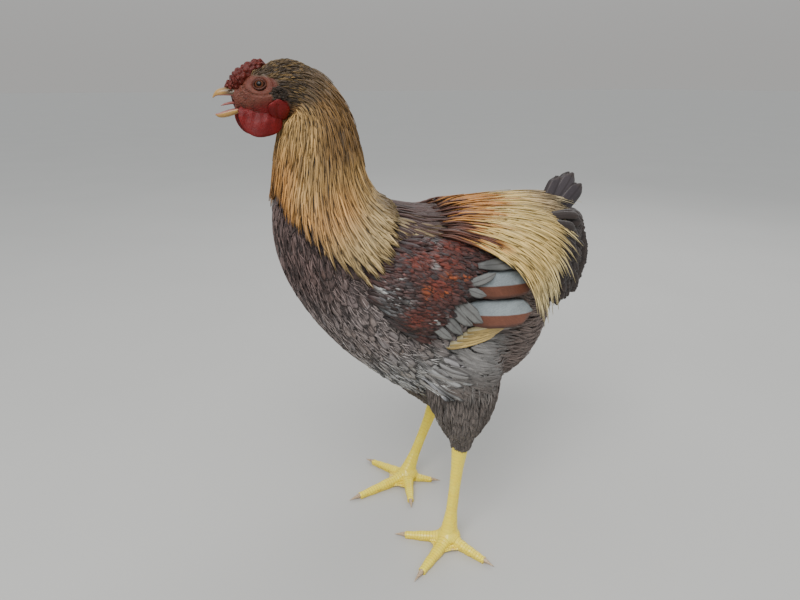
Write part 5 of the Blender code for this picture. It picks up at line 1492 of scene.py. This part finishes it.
BEAK_TOP = ((-0.174, 0.4744), (-0.18, 0.4748), (-0.187, 0.4752), (-0.193, 0.4738),
            (-0.1965, 0.4712), (-0.1985, 0.4672))
BEAK_ROOF = ((-0.174, 0.4658), (-0.1795, 0.4662), (-0.187, 0.4668), (-0.1925, 0.4672),
             (-0.1958, 0.4676), (-0.198, 0.4668))
JAW_TOP = ((-0.1725, 0.4606), (-0.178, 0.4598), (-0.185, 0.459), (-0.191, 0.4572),
           (-0.1955, 0.4552), (-0.1975, 0.454))
JAW_LOW = ((-0.172, 0.4558), (-0.1774, 0.4548), (-0.1845, 0.4523), (-0.1905, 0.451),
           (-0.195, 0.4514), (-0.1972, 0.453))
BEAK_HALF = (0.008, 0.0078, 0.0062, 0.0045, 0.0028, 0.0008)


def make_beak(name, top, low, size, upper):
    """One half of the beak: rings between its two edges in the side view, with a ridge outside and a hollow
    inside, and on the upper half two slit nostrils under a small flap.
    """
    table = np.column_stack((top, low, np.array(BEAK_HALF) * size))
    s, turn = grid(0.0, 1.0, 70, 56)
    row = rows_at(table, s * (len(table) - 1))
    c, v = np.cos(turn), np.sin(turn)
    outer = v if upper else -v
    hollow = 1 - 0.55 * (1 - np.abs(c)**1.5) * ease((1 - s) * 3)
    lift = np.where(outer > 0, np.abs(v)**0.85, np.abs(v) * hollow)
    lift = lift * np.sign(v)
    x = (row[..., 0] + row[..., 2]) / 2 + (row[..., 0] - row[..., 2]) / 2 * lift
    z = (row[..., 1] + row[..., 3]) / 2 + (row[..., 1] - row[..., 3]) / 2 * lift
    y = row[..., 4] * signed_power(c, 0.85)
    inside = ease(-outer * 1.6)
    if upper:
        slit = np.hypot((x + 0.1842) / 0.0022, (z - 0.4722 - 0.1 * (x + 0.1842)) / 0.0008)
        y = y - np.sign(y) * 0.0016 * hump(slit / 1.1)
        flap = np.hypot((x + 0.1838) / 0.003, (z - 0.4736) / 0.001)
        y = y + np.sign(y) * 0.0004 * hump(flap / 1.2)
    return loft(name, np.stack((x, y, z), axis=-1), {"inside": inside})


def make_tongue():
    """Pointed tongue: flat rings along a line that dips to the tip, with a groove down its top."""
    s, turn = grid(0.0, 1.0, 30, 24)
    x = np.interp(s, (0, 0.37, 0.73, 1.0), (-0.174, -0.184, -0.189, -0.1925))
    z = np.interp(s, (0, 0.37, 0.73, 1.0), (0.4632, 0.4628, 0.4618, 0.4606))
    half = np.interp(s, (0, 0.5, 0.8, 1.0), (0.0024, 0.0021, 0.0014, 0.0002))
    groove = 1 - 0.4 * hump(np.cos(turn) / 0.5) * (np.sin(turn) > 0)
    rings = np.stack((x, half * np.cos(turn), z + half * 0.55 * np.sin(turn) * groove), axis=-1)
    return loft("tongue_flesh", rings, {"inside": np.ones(s.shape)})


def flesh_material(name, tint, roughness=0.42, through=0.22):
    """Red flesh: close grain in bump, blotched colour, and a share of light that passes through."""
    made, tree = surface(name, roughness, Subsurface_Weight=through, Subsurface_Radius=(0.005, 0.001, 0.0008),
                         Subsurface_Scale=1.0, Specular_IOR_Level=0.3)
    place = object_place(tree)
    grain, patch = cells(tree, place, 1300.0), noise(tree, place, 140.0, 5.0, 0.6)
    tone = blended(tree, ramped(tree, patch, 0.3, 0.7), flesh(tint) * 0.75, flesh(tint) * (1.15, 1.5, 1.4))
    tone = blended(tree, ramped(tree, grain, 0.2, 0.7, 0.0, 0.4), tone, flesh(tint) * 0.5)
    return finished(made, tone, sums(tree, "MULTIPLY_ADD", patch, 1.5, grain), 0.6, 0.0004)


def beak_material():
    """Horn: dark at the root and yellow at the tip of the upper half, lined along, pink inside."""
    made, tree = surface("beak_horn", 0.36, Specular_IOR_Level=0.5)
    place = object_place(tree)
    x, _, z = parts(tree, place)
    stretch = socket(tree, "ShaderNodeMapping", (("Vector", place),), Scale=(0.15, 1.0, 1.0))
    lines = noise(tree, stretch.outputs[0], 1400.0, 3.0)
    upper = ramped(tree, z, 0.4632 + SHIFT[2], 0.4645 + SHIFT[2])
    dark = sums(tree, "MULTIPLY", ramped(tree, x, -0.1935 + SHIFT[0], -0.185 + SHIFT[0]), upper)
    dark = sums(tree, "MULTIPLY_ADD", sums(tree, "SUBTRACT", lines, 0.5), 0.5, dark, clamp=True)
    tone = blended(tree, dark, flesh("horn"), flesh("horn_dark"))
    tone = blended(tree, ramped(tree, attribute(tree, "inside"), 0.3, 0.9), tone, flesh("mouth"))
    return finished(made, tone, lines, 0.3, 0.0003)


def eye_material():
    """Eye under a clear coat: black pupil, orange brown iris with fine spokes, dark ring and pale rim."""
    made, tree = surface("eye", 0.25, Coat_Weight=0.16, Coat_Roughness=0.02, Coat_IOR=1.38,
                         Specular_IOR_Level=0.15)
    out = attribute(tree, "from_axis")
    round_axis = sums(tree, "MULTIPLY", attribute(tree, "round_axis"), 9.0)
    polar = socket(tree, "ShaderNodeCombineXYZ", (("X", round_axis), ("Y", out))).outputs[0]
    spoke = noise(tree, polar, 3.0, 3.0)
    iris = blended(tree, ramped(tree, spoke, 0.3, 0.7), flesh("iris") * 0.45, flesh("iris") * 1.35)
    iris = blended(tree, ramped(tree, out, 0.62, 0.8), iris, flesh("iris") * 0.18)
    tone = blended(tree, ramped(tree, out, 0.42, 0.46), (0.002, 0.002, 0.002), iris)
    return finished(made, blended(tree, ramped(tree, out, 0.9, 1.0), tone, (0.05, 0.025, 0.018)))


# Legs
def toe_line(side, k):
    """Ground plan of a toe: its start, the place where the claw begins, and the claw's tip."""
    foot, reach = np.array(FEET[side]), np.array(TOES[side][k])
    far = np.linalg.norm(reach)
    return foot + reach / far * 0.004, foot + reach * (1 - CLAW_LENGTHS[k] / far), foot + reach


def leg_lines(side):
    """Centre lines of the shank and the four toes, with the way that is the front or the top of each."""
    hock = THIGHS[side][-1]
    top = np.array((hock[0], hock[1], hock[2] + 0.006))
    low = np.array((*FEET[side], 0.012))
    share = np.linspace(0.0, 1.0, 40)[:, None]
    lines = [(top + (low - top) * share, np.array((-1.0, 0.0, 0.0)))]
    for k in range(4):
        start, end, _ = toe_line(side, k)
        run = np.linspace(0.0, 1.0, 30)
        radius = TOE_ROOTS[k] * (1 - TOE_TAPER * run)
        height = radius * 0.8 - 0.0006 + 0.0032 * (1 - ease(run * 4)) * (k > 0)
        line = np.column_stack((start + (end - start) * run[:, None], height))
        lines.append((line, np.array((0.0, 0.0, 1.0))))
    return lines


def pipe(path, radii, sides, wide=1.0, tall=1.0, up=(0.0, 0.0, 1.0)):
    """Rings of an oval section carried along a path, square to it."""
    way = unit(np.gradient(path, axis=0))
    across = unit(np.cross(way, up))
    rise = np.cross(across, way)
    turn = around(sides)
    section = np.cos(turn)[:, None] * across[:, None] * wide + np.sin(turn)[:, None] * rise[:, None] * tall
    return path[:, None] + section * np.asarray(radii)[:, None, None]


def bare_leg(side, lines, girth):
    """Shank, foot and webs as pipes along their centre lines, joined by remeshing and smoothed."""
    leg = loft(f"leg_{SIDE_NAMES[side]}", pipe(lines[0][0], girth, 32, 0.92, 1.06, (-1.0, 0.0, 0.0)))
    lat, turn = grid(0.05, math.pi - 0.05, 16, 32)
    ball = np.stack((np.sin(lat) * np.cos(turn), np.sin(lat) * np.sin(turn), np.cos(lat)), axis=-1)
    join(leg, loft("heel", np.array((*FEET[side], 0.0088)) + ball * HEEL_SIZE))
    for k in range(4):
        path, _ = lines[k + 1]
        run = np.linspace(0.0, 1.0, len(path))
        knuckle = 1 + 0.09 * np.sin(run * math.pi * (1.5 + k)) ** 2
        join(leg, loft("toe", pipe(path, TOE_ROOTS[k] * (1 - TOE_TAPER * run) * knuckle, 24, 1.0, 1.0)))
    for k in (1, 2):
        (a0, a1, _), (b0, b1, _) = toe_line(side, k), toe_line(side, k + 1)
        heel, edge_a, edge_b = (a0 + b0) / 2, a0 + (a1 - a0) * WEB_REACH, b0 + (b1 - b0) * WEB_REACH
        w, v = grid(0.0, 1.0, 12, 16)
        row_a, row_b = heel + (edge_a - heel) * w[..., None], heel + (edge_b - heel) * w[..., None]
        mid = (np.cos(v)[..., None] + 1) / 2
        plan = row_a * mid + row_b * (1 - mid)
        plan = plan - (edge_a + edge_b - 2 * heel) * 0.12 * (w * (1 - np.cos(v)**2))[..., None]
        z = 0.0036 + 0.0012 * np.sin(v)
        join(leg, loft("web", np.concatenate((plan, z[..., None]), axis=-1)[1:]))
    remesh = leg.modifiers.new("remesh", "REMESH")
    remesh.mode = "VOXEL"
    remesh.voxel_size = 0.0007
    smooth = leg.modifiers.new("smooth", "SMOOTH")
    smooth.factor = 0.5
    smooth.iterations = 7
    apply_modifiers(leg)
    return leg


def nearest_line(points, lines, girth):
    """For each point, of the centre line whose pipe it lies nearest to: the distance from it in radii, the
    run along it, with the step added for each line after the first, and the angle from its front or top.
    """
    best, run, turn = np.full(len(points), 9.0), np.zeros(len(points)), np.zeros(len(points))
    for number, (path, front) in enumerate(lines):
        off = np.linalg.norm(points[:, None] - path[None], axis=-1)
        near = off.argmin(axis=1)
        far = off.min(axis=1) / (girth[near] if number == 0 else TOE_ROOTS[number - 1])
        way = unit(path[-1] - path[0])
        reached = (points - path[near]) @ way + run_along(path)[near]
        out = unit(points - path[near] - way * ((points - path[near]) @ way)[:, None])
        here = far < best
        best = np.where(here, far, best)
        run = np.where(here, reached + LINE_STEP * number, run)
        turn = np.where(here, np.arccos(np.clip(out @ front, -1, 1)), turn)
    return best, run, turn


def make_leg(side):
    """Shank and foot as one skin, pressed flat on the floor and raised in plates: the run along the nearest
    centre line gives the grooves between the plates of the front or top and the smaller ones behind.
    """
    lines = leg_lines(side)
    girth = np.interp(np.linspace(0.0, 1.0, len(lines[0][0])), SHANK_AT, SHANK_GIRTH)
    leg = bare_leg(side, lines, girth)
    points, normals = point_values(leg.data) - SHIFT, point_values(leg.data, "normal")
    best, run, turn = nearest_line(points, lines, girth)
    phase = run / np.where(run < TOE_RUN, SHANK_PLATE, TOE_PLATE)
    groove = 1 - hump((phase - np.round(phase)) / 0.16)
    front = ease((1.25 - turn) / 0.25)
    back = 1 - ease((2.3 - turn) / 0.5)
    plates = 0.00026 * groove * front - 0.00018 * (1 - front) + 0.0001 * groove * back
    points = points + normals * plates[:, None]
    points[:, 2] = np.where(points[:, 2] < 0.0011, np.maximum(points[:, 2] * 0.35, 0.0002), points[:, 2])
    leg.data.vertices.foreach_set("co", (points + SHIFT).astype(np.float32).ravel())
    mark(leg.data, {"run": run, "turn": turn, "webbed": best})
    leg.data.shade_smooth()
    leg.data.update()
    return leg


def leg_material():
    """Scaled leg: glossy yellow plates with darker grooves, small scales at the sides, pinkish webs."""
    made, tree = surface("leg_scales", 0.32, Specular_IOR_Level=0.5, Coat_Weight=0.45, Coat_Roughness=0.2,
                         Subsurface_Weight=0.06, Subsurface_Radius=(0.003, 0.0015, 0.0005),
                         Subsurface_Scale=1.0)
    place = object_place(tree)
    run, turn = attribute(tree, "run"), attribute(tree, "turn")
    toes = ramped(tree, run, TOE_RUN - 0.005, TOE_RUN + 0.005)
    phase = sums(tree, "DIVIDE", run, sums(tree, "MULTIPLY_ADD", toes, TOE_PLATE - SHANK_PLATE, SHANK_PLATE))
    off = sums(tree, "ABSOLUTE", sums(tree, "SUBTRACT", phase, sums(tree, "ROUND", phase)))
    front = ramped(tree, turn, 1.35, 1.15)
    pebble = ramped(tree, cells(tree, place, 420.0, "DISTANCE_TO_EDGE"), 0.02, 0.16)
    height = sums(tree, "ADD", sums(tree, "MULTIPLY", ramped(tree, off, 0.02, 0.11), front),
                  sums(tree, "MULTIPLY", pebble, sums(tree, "SUBTRACT", 1.0, front)))
    patch = ramped(tree, noise(tree, place, 90.0, 5.0), 0.3, 0.75)
    tone = blended(tree, patch, flesh("leg") * (1.0, 0.96, 0.8), flesh("leg") * (1.0, 1.05, 1.5))
    darker = sums(tree, "MULTIPLY_ADD", toes, 0.4, 0.22)
    depth = sums(tree, "MULTIPLY", ramped(tree, height, 0.0, 0.9, 1.0, 0.0), darker)
    tone = blended(tree, depth, tone, flesh("leg_shade"))
    tone = blended(tree, ramped(tree, attribute(tree, "webbed"), 1.25, 1.7, 0.0, 0.7), tone, flesh("web"))
    return finished(made, tone, height, 0.5, 0.0003)


def make_claw(side, k):
    """Curved claw: rings that shrink along a line bent down to just clear of the floor."""
    _, end, tip = toe_line(side, k)
    way = (tip - end) / np.linalg.norm(tip - end)
    start = end - way * 0.0015
    share = np.linspace(0.0, 1.0, 26)
    radius = TOE_ROOTS[k] * 0.46 * (1 - share * 0.94) * (1 - 0.1 * share)
    height = TOE_ROOTS[k] * 0.54 * 0.8 + 0.0006 + (0.0016 - TOE_ROOTS[k] * 0.43) * share**2
    path = np.column_stack((start + (tip - start) * share[:, None], np.maximum(height, radius + 0.0002)))
    return loft(f"nail_{TOE_NAMES[k]}_{SIDE_NAMES[side]}", pipe(path, radius, 20, 0.9, 1.0))


def claw_material():
    """Horn of the claws: pale, with fine lines along."""
    made, tree = surface("claw_horn", 0.38, Specular_IOR_Level=0.5)
    lines = noise(tree, object_place(tree), 700.0, 4.0)
    tone = blended(tree, ramped(tree, lines, 0.3, 0.7), flesh("claw") * 0.6, flesh("claw") * 1.2)
    return finished(made, tone, lines, 0.3, 0.0002)


# Stage and operators
FLOOR_SIZE = 60.0
LIGHT_TARGET = (0.0, 0.0, 0.28)
CAMERA_PLAN = (-0.256, -0.544)


class COCKEREL_OT_skin(bpy.types.Operator):
    """Make the skin under the feathers, with the bare face"""
    bl_idname = "cockerel.skin"
    bl_label = "Skin"

    def execute(self, context):
        dress(build_skin(), skin_material(),
              ("torso", "neck", "head", "thigh_left", "thigh_right"))
        return {"FINISHED"}


class COCKEREL_OT_body(bpy.types.Operator):
    """Lay the feathers of breast, flank, back and thighs, and the down"""
    bl_idname = "cockerel.body"
    bl_label = "Body feathers"

    def execute(self, context):
        vane = feather_material("body_plumage", 0.66, 0.85, -0.45, 0.75, 0.62, 0.05, tip_start=0.88)
        streaked = feather_material("mantle_plumage", 0.55, 0.9, 0.0, 0.5, 0.6, 0.08)
        soft = feather_material("body_down", 0.3, 0.5, 0.0, 0.6, 0.8, 0.12, root_shade=0.85)
        dress(make_contour(), vane)
        dress(make_filoplumes(), soft)
        dress(make_mantle(), streaked)
        dress(make_thighs(), soft)
        dress(make_fluff(), soft)
        return {"FINISHED"}


class COCKEREL_OT_hackle(bpy.types.Operator):
    """Lay the feathers of the neck, the cape and the crown, and the bristles of the face"""
    bl_idname = "cockerel.hackle"
    bl_label = "Hackle"

    def execute(self, context):
        lances = feather_material("hackle", 0.55, 0.7, 0.0, 0.6, 0.55, 0.08)
        for piece in make_hackle():
            dress(piece, lances)
        dress(make_crown(), feather_material("crown_plumage", 0.5, 0.8, 0.0, 0.6, 0.6, 0.1, 0.3))
        dress(make_bristles(), bpy.data.materials["crown_plumage"])
        return {"FINISHED"}


class COCKEREL_OT_saddle(bpy.types.Operator):
    """Lay the long feathers of the saddle"""
    bl_idname = "cockerel.saddle"
    bl_label = "Saddle"

    def execute(self, context):
        glossy = feather_material("saddle_hackle", 0.55, 0.8, 0.0, 0.6, 0.42, 0.08)
        dress(make_saddle(), glossy, ("saddle_left", "saddle_right"))
        return {"FINISHED"}


class COCKEREL_OT_wings(bpy.types.Operator):
    """Lay the feathers of both wings"""
    bl_idname = "cockerel.wings"
    bl_label = "Wings"

    def execute(self, context):
        rng = draws(8)
        plain = feather_material("wing_plumage", 0.7, 0.8, 0.0, 0.5, 0.5, 0.05)
        dress(make_wing_bow(), plain, ("wing_left", "wing_right"))
        looks = {"primary": (0.9, 0.3, 0.4), "secondary": (0.88, 0.7, 0.0), "covert": (0.8, 0.9, -0.6)}
        for name, (start, amount, shaft) in looks.items():
            vane = feather_material(f"quill_{name}", start, amount, shaft, 0.45, 0.48, 0.05, lower_vane=True,
                                    tip_start=0.95)
            dress(make_quills(name, rng), vane)
        return {"FINISHED"}


class COCKEREL_OT_tail(bpy.types.Operator):
    """Lay the feathers of the tail"""
    bl_idname = "cockerel.tail"
    bl_label = "Tail"

    def execute(self, context):
        glossy = feather_material("tail_plumage", 0.7, 0.6, -0.4, 0.4, 0.45, 0.05)
        dress(make_tail(), glossy, ("tail",))
        return {"FINISHED"}


class COCKEREL_OT_head(bpy.types.Operator):
    """Make comb, wattles, earlobes, eyes, lids, beak and tongue"""
    bl_idname = "cockerel.head"
    bl_label = "Head"

    def execute(self, context):
        comb, wattle = flesh_material("comb_flesh", "comb"), flesh_material("wattle_flesh", "wattle")
        horn, eye, lid = beak_material(), eye_material(), flesh_material("lid_skin", "lid", 0.6, 0.0)
        dress(make_comb(), comb, ("comb",))
        dress(make_beak("beak_top_horn", BEAK_TOP, BEAK_ROOF, 1.0, True), horn, ("beak_upper",))
        dress(make_beak("beak_low_horn", JAW_TOP, JAW_LOW, 0.92, False), horn, ("beak_lower",))
        dress(make_tongue(), horn, ("tongue",))
        for side, name in SIDE_NAMES.items():
            dress(make_wattle(side), wattle, (f"wattle_{name}",))
            dress(make_earlobe(side), wattle, (f"earlobe_{name}",))
            dress(make_eye(side), eye, (f"eye_{name}",))
            dress(make_lids(side), lid)
        return {"FINISHED"}


class COCKEREL_OT_legs(bpy.types.Operator):
    """Make shanks, feet and claws"""
    bl_idname = "cockerel.legs"
    bl_label = "Legs"

    def execute(self, context):
        scales, horn = leg_material(), claw_material()
        for side, name in SIDE_NAMES.items():
            dress(make_leg(side), scales, (f"shank_{name}", f"foot_{name}"))
            for k, toe in enumerate(TOE_NAMES):
                dress(make_claw(side, k), horn, (f"claw_{toe}_{name}",))
        return {"FINISHED"}


class COCKEREL_OT_stage(bpy.types.Operator):
    """Make the floor, the lights and the camera"""
    bl_idname = "cockerel.stage"
    bl_label = "Stage"

    def execute(self, context):
        stage = context.scene.cockerel_stage
        mesh = bpy.data.meshes.new("floor")
        corners = FLOOR_SIZE / 2 * np.array(((-1, -1, 0), (1, -1, 0), (1, 1, 0), (-1, 1, 0)))
        mesh.from_pydata(corners, [], [(0, 1, 2, 3)])
        floor = placed("floor", mesh)
        made, tree = surface("floor", 0.85)
        cloud, tint = noise(tree, object_place(tree), 3.0, 3.0), np.array(stage.floor)
        mesh.materials.append(finished(made, blended(tree, cloud, tint * 0.95, tint * 1.03)))
        world = bpy.data.worlds.new("studio")
        world.use_nodes = True
        sky = world.node_tree
        height = parts(sky, sky.nodes.new("ShaderNodeTexCoord").outputs["Generated"])[2]
        low, high = np.array((1.0, 0.985, 0.96)) * stage.horizon, np.array((0.92, 0.96, 1.0))
        glow = blended(sky, ramped(sky, height, 0.0, 0.75), low, high)
        sky.links.new(glow, sky.nodes["Background"].inputs[0])
        sky.nodes["Background"].inputs[1].default_value = stage.sky
        context.scene.world = world
        for name, place, size in (("key", (-0.9, -1.1, 1.9), 1.3), ("rim", (1.2, 0.9, 1.5), 1.2)):
            light = bpy.data.lights.new(name, "AREA")
            light.energy = getattr(stage, name)
            light.size = size
            lamp = placed(name, light)
            lamp.location = place
            lamp.rotation_euler = (Vector(LIGHT_TARGET) - Vector(place)).to_track_quat("-Z", "Y").to_euler()
        lens = bpy.data.cameras.new("camera")
        lens.lens = stage.lens
        lens.sensor_width = 36.0
        lens.clip_start = 0.01
        camera = placed("camera", lens)
        camera.location = Vector((*CAMERA_PLAN, stage.eye_height)) + Vector(SHIFT)
        camera.rotation_euler = (math.pi / 2 - stage.pitch, 0.0, stage.azimuth)
        context.scene.camera = camera
        return {"FINISHED"}


class COCKEREL_PT_panel(bpy.types.Panel):
    """Steps of the cockerel in the sidebar"""
    bl_label = "Cockerel"
    bl_idname = "COCKEREL_PT_panel"
    bl_space_type = "VIEW_3D"
    bl_region_type = "UI"
    bl_category = "Cockerel"

    def draw(self, context):
        for step in STEPS:
            self.layout.operator(step.bl_idname)


STEPS = (COCKEREL_OT_skin, COCKEREL_OT_body, COCKEREL_OT_hackle, COCKEREL_OT_saddle, COCKEREL_OT_wings,
         COCKEREL_OT_tail, COCKEREL_OT_head, COCKEREL_OT_legs, COCKEREL_OT_stage)
GROUPS = (("cockerel_plumage", PlumageSettings), ("cockerel_colours", PlumageColours),
          ("cockerel_flesh", FleshColours), ("cockerel_stage", StageSettings))


def register():
    """Registers the settings, the operators and the panel."""
    for name, group in GROUPS:
        bpy.utils.register_class(group)
        setattr(bpy.types.Scene, name, bpy.props.PointerProperty(type=group))
    for kind in (*STEPS, COCKEREL_PT_panel):
        bpy.utils.register_class(kind)


def unregister():
    """Takes them away again."""
    for kind in (COCKEREL_PT_panel, *reversed(STEPS)):
        bpy.utils.unregister_class(kind)
    for name, group in reversed(GROUPS):
        delattr(bpy.types.Scene, name)
        bpy.utils.unregister_class(group)


def main():
    """Makes every piece in order."""
    register()
    for step in STEPS:
        group, name = step.bl_idname.split(".")
        getattr(getattr(bpy.ops, group), name)()


if __name__ == "__main__":
    main()
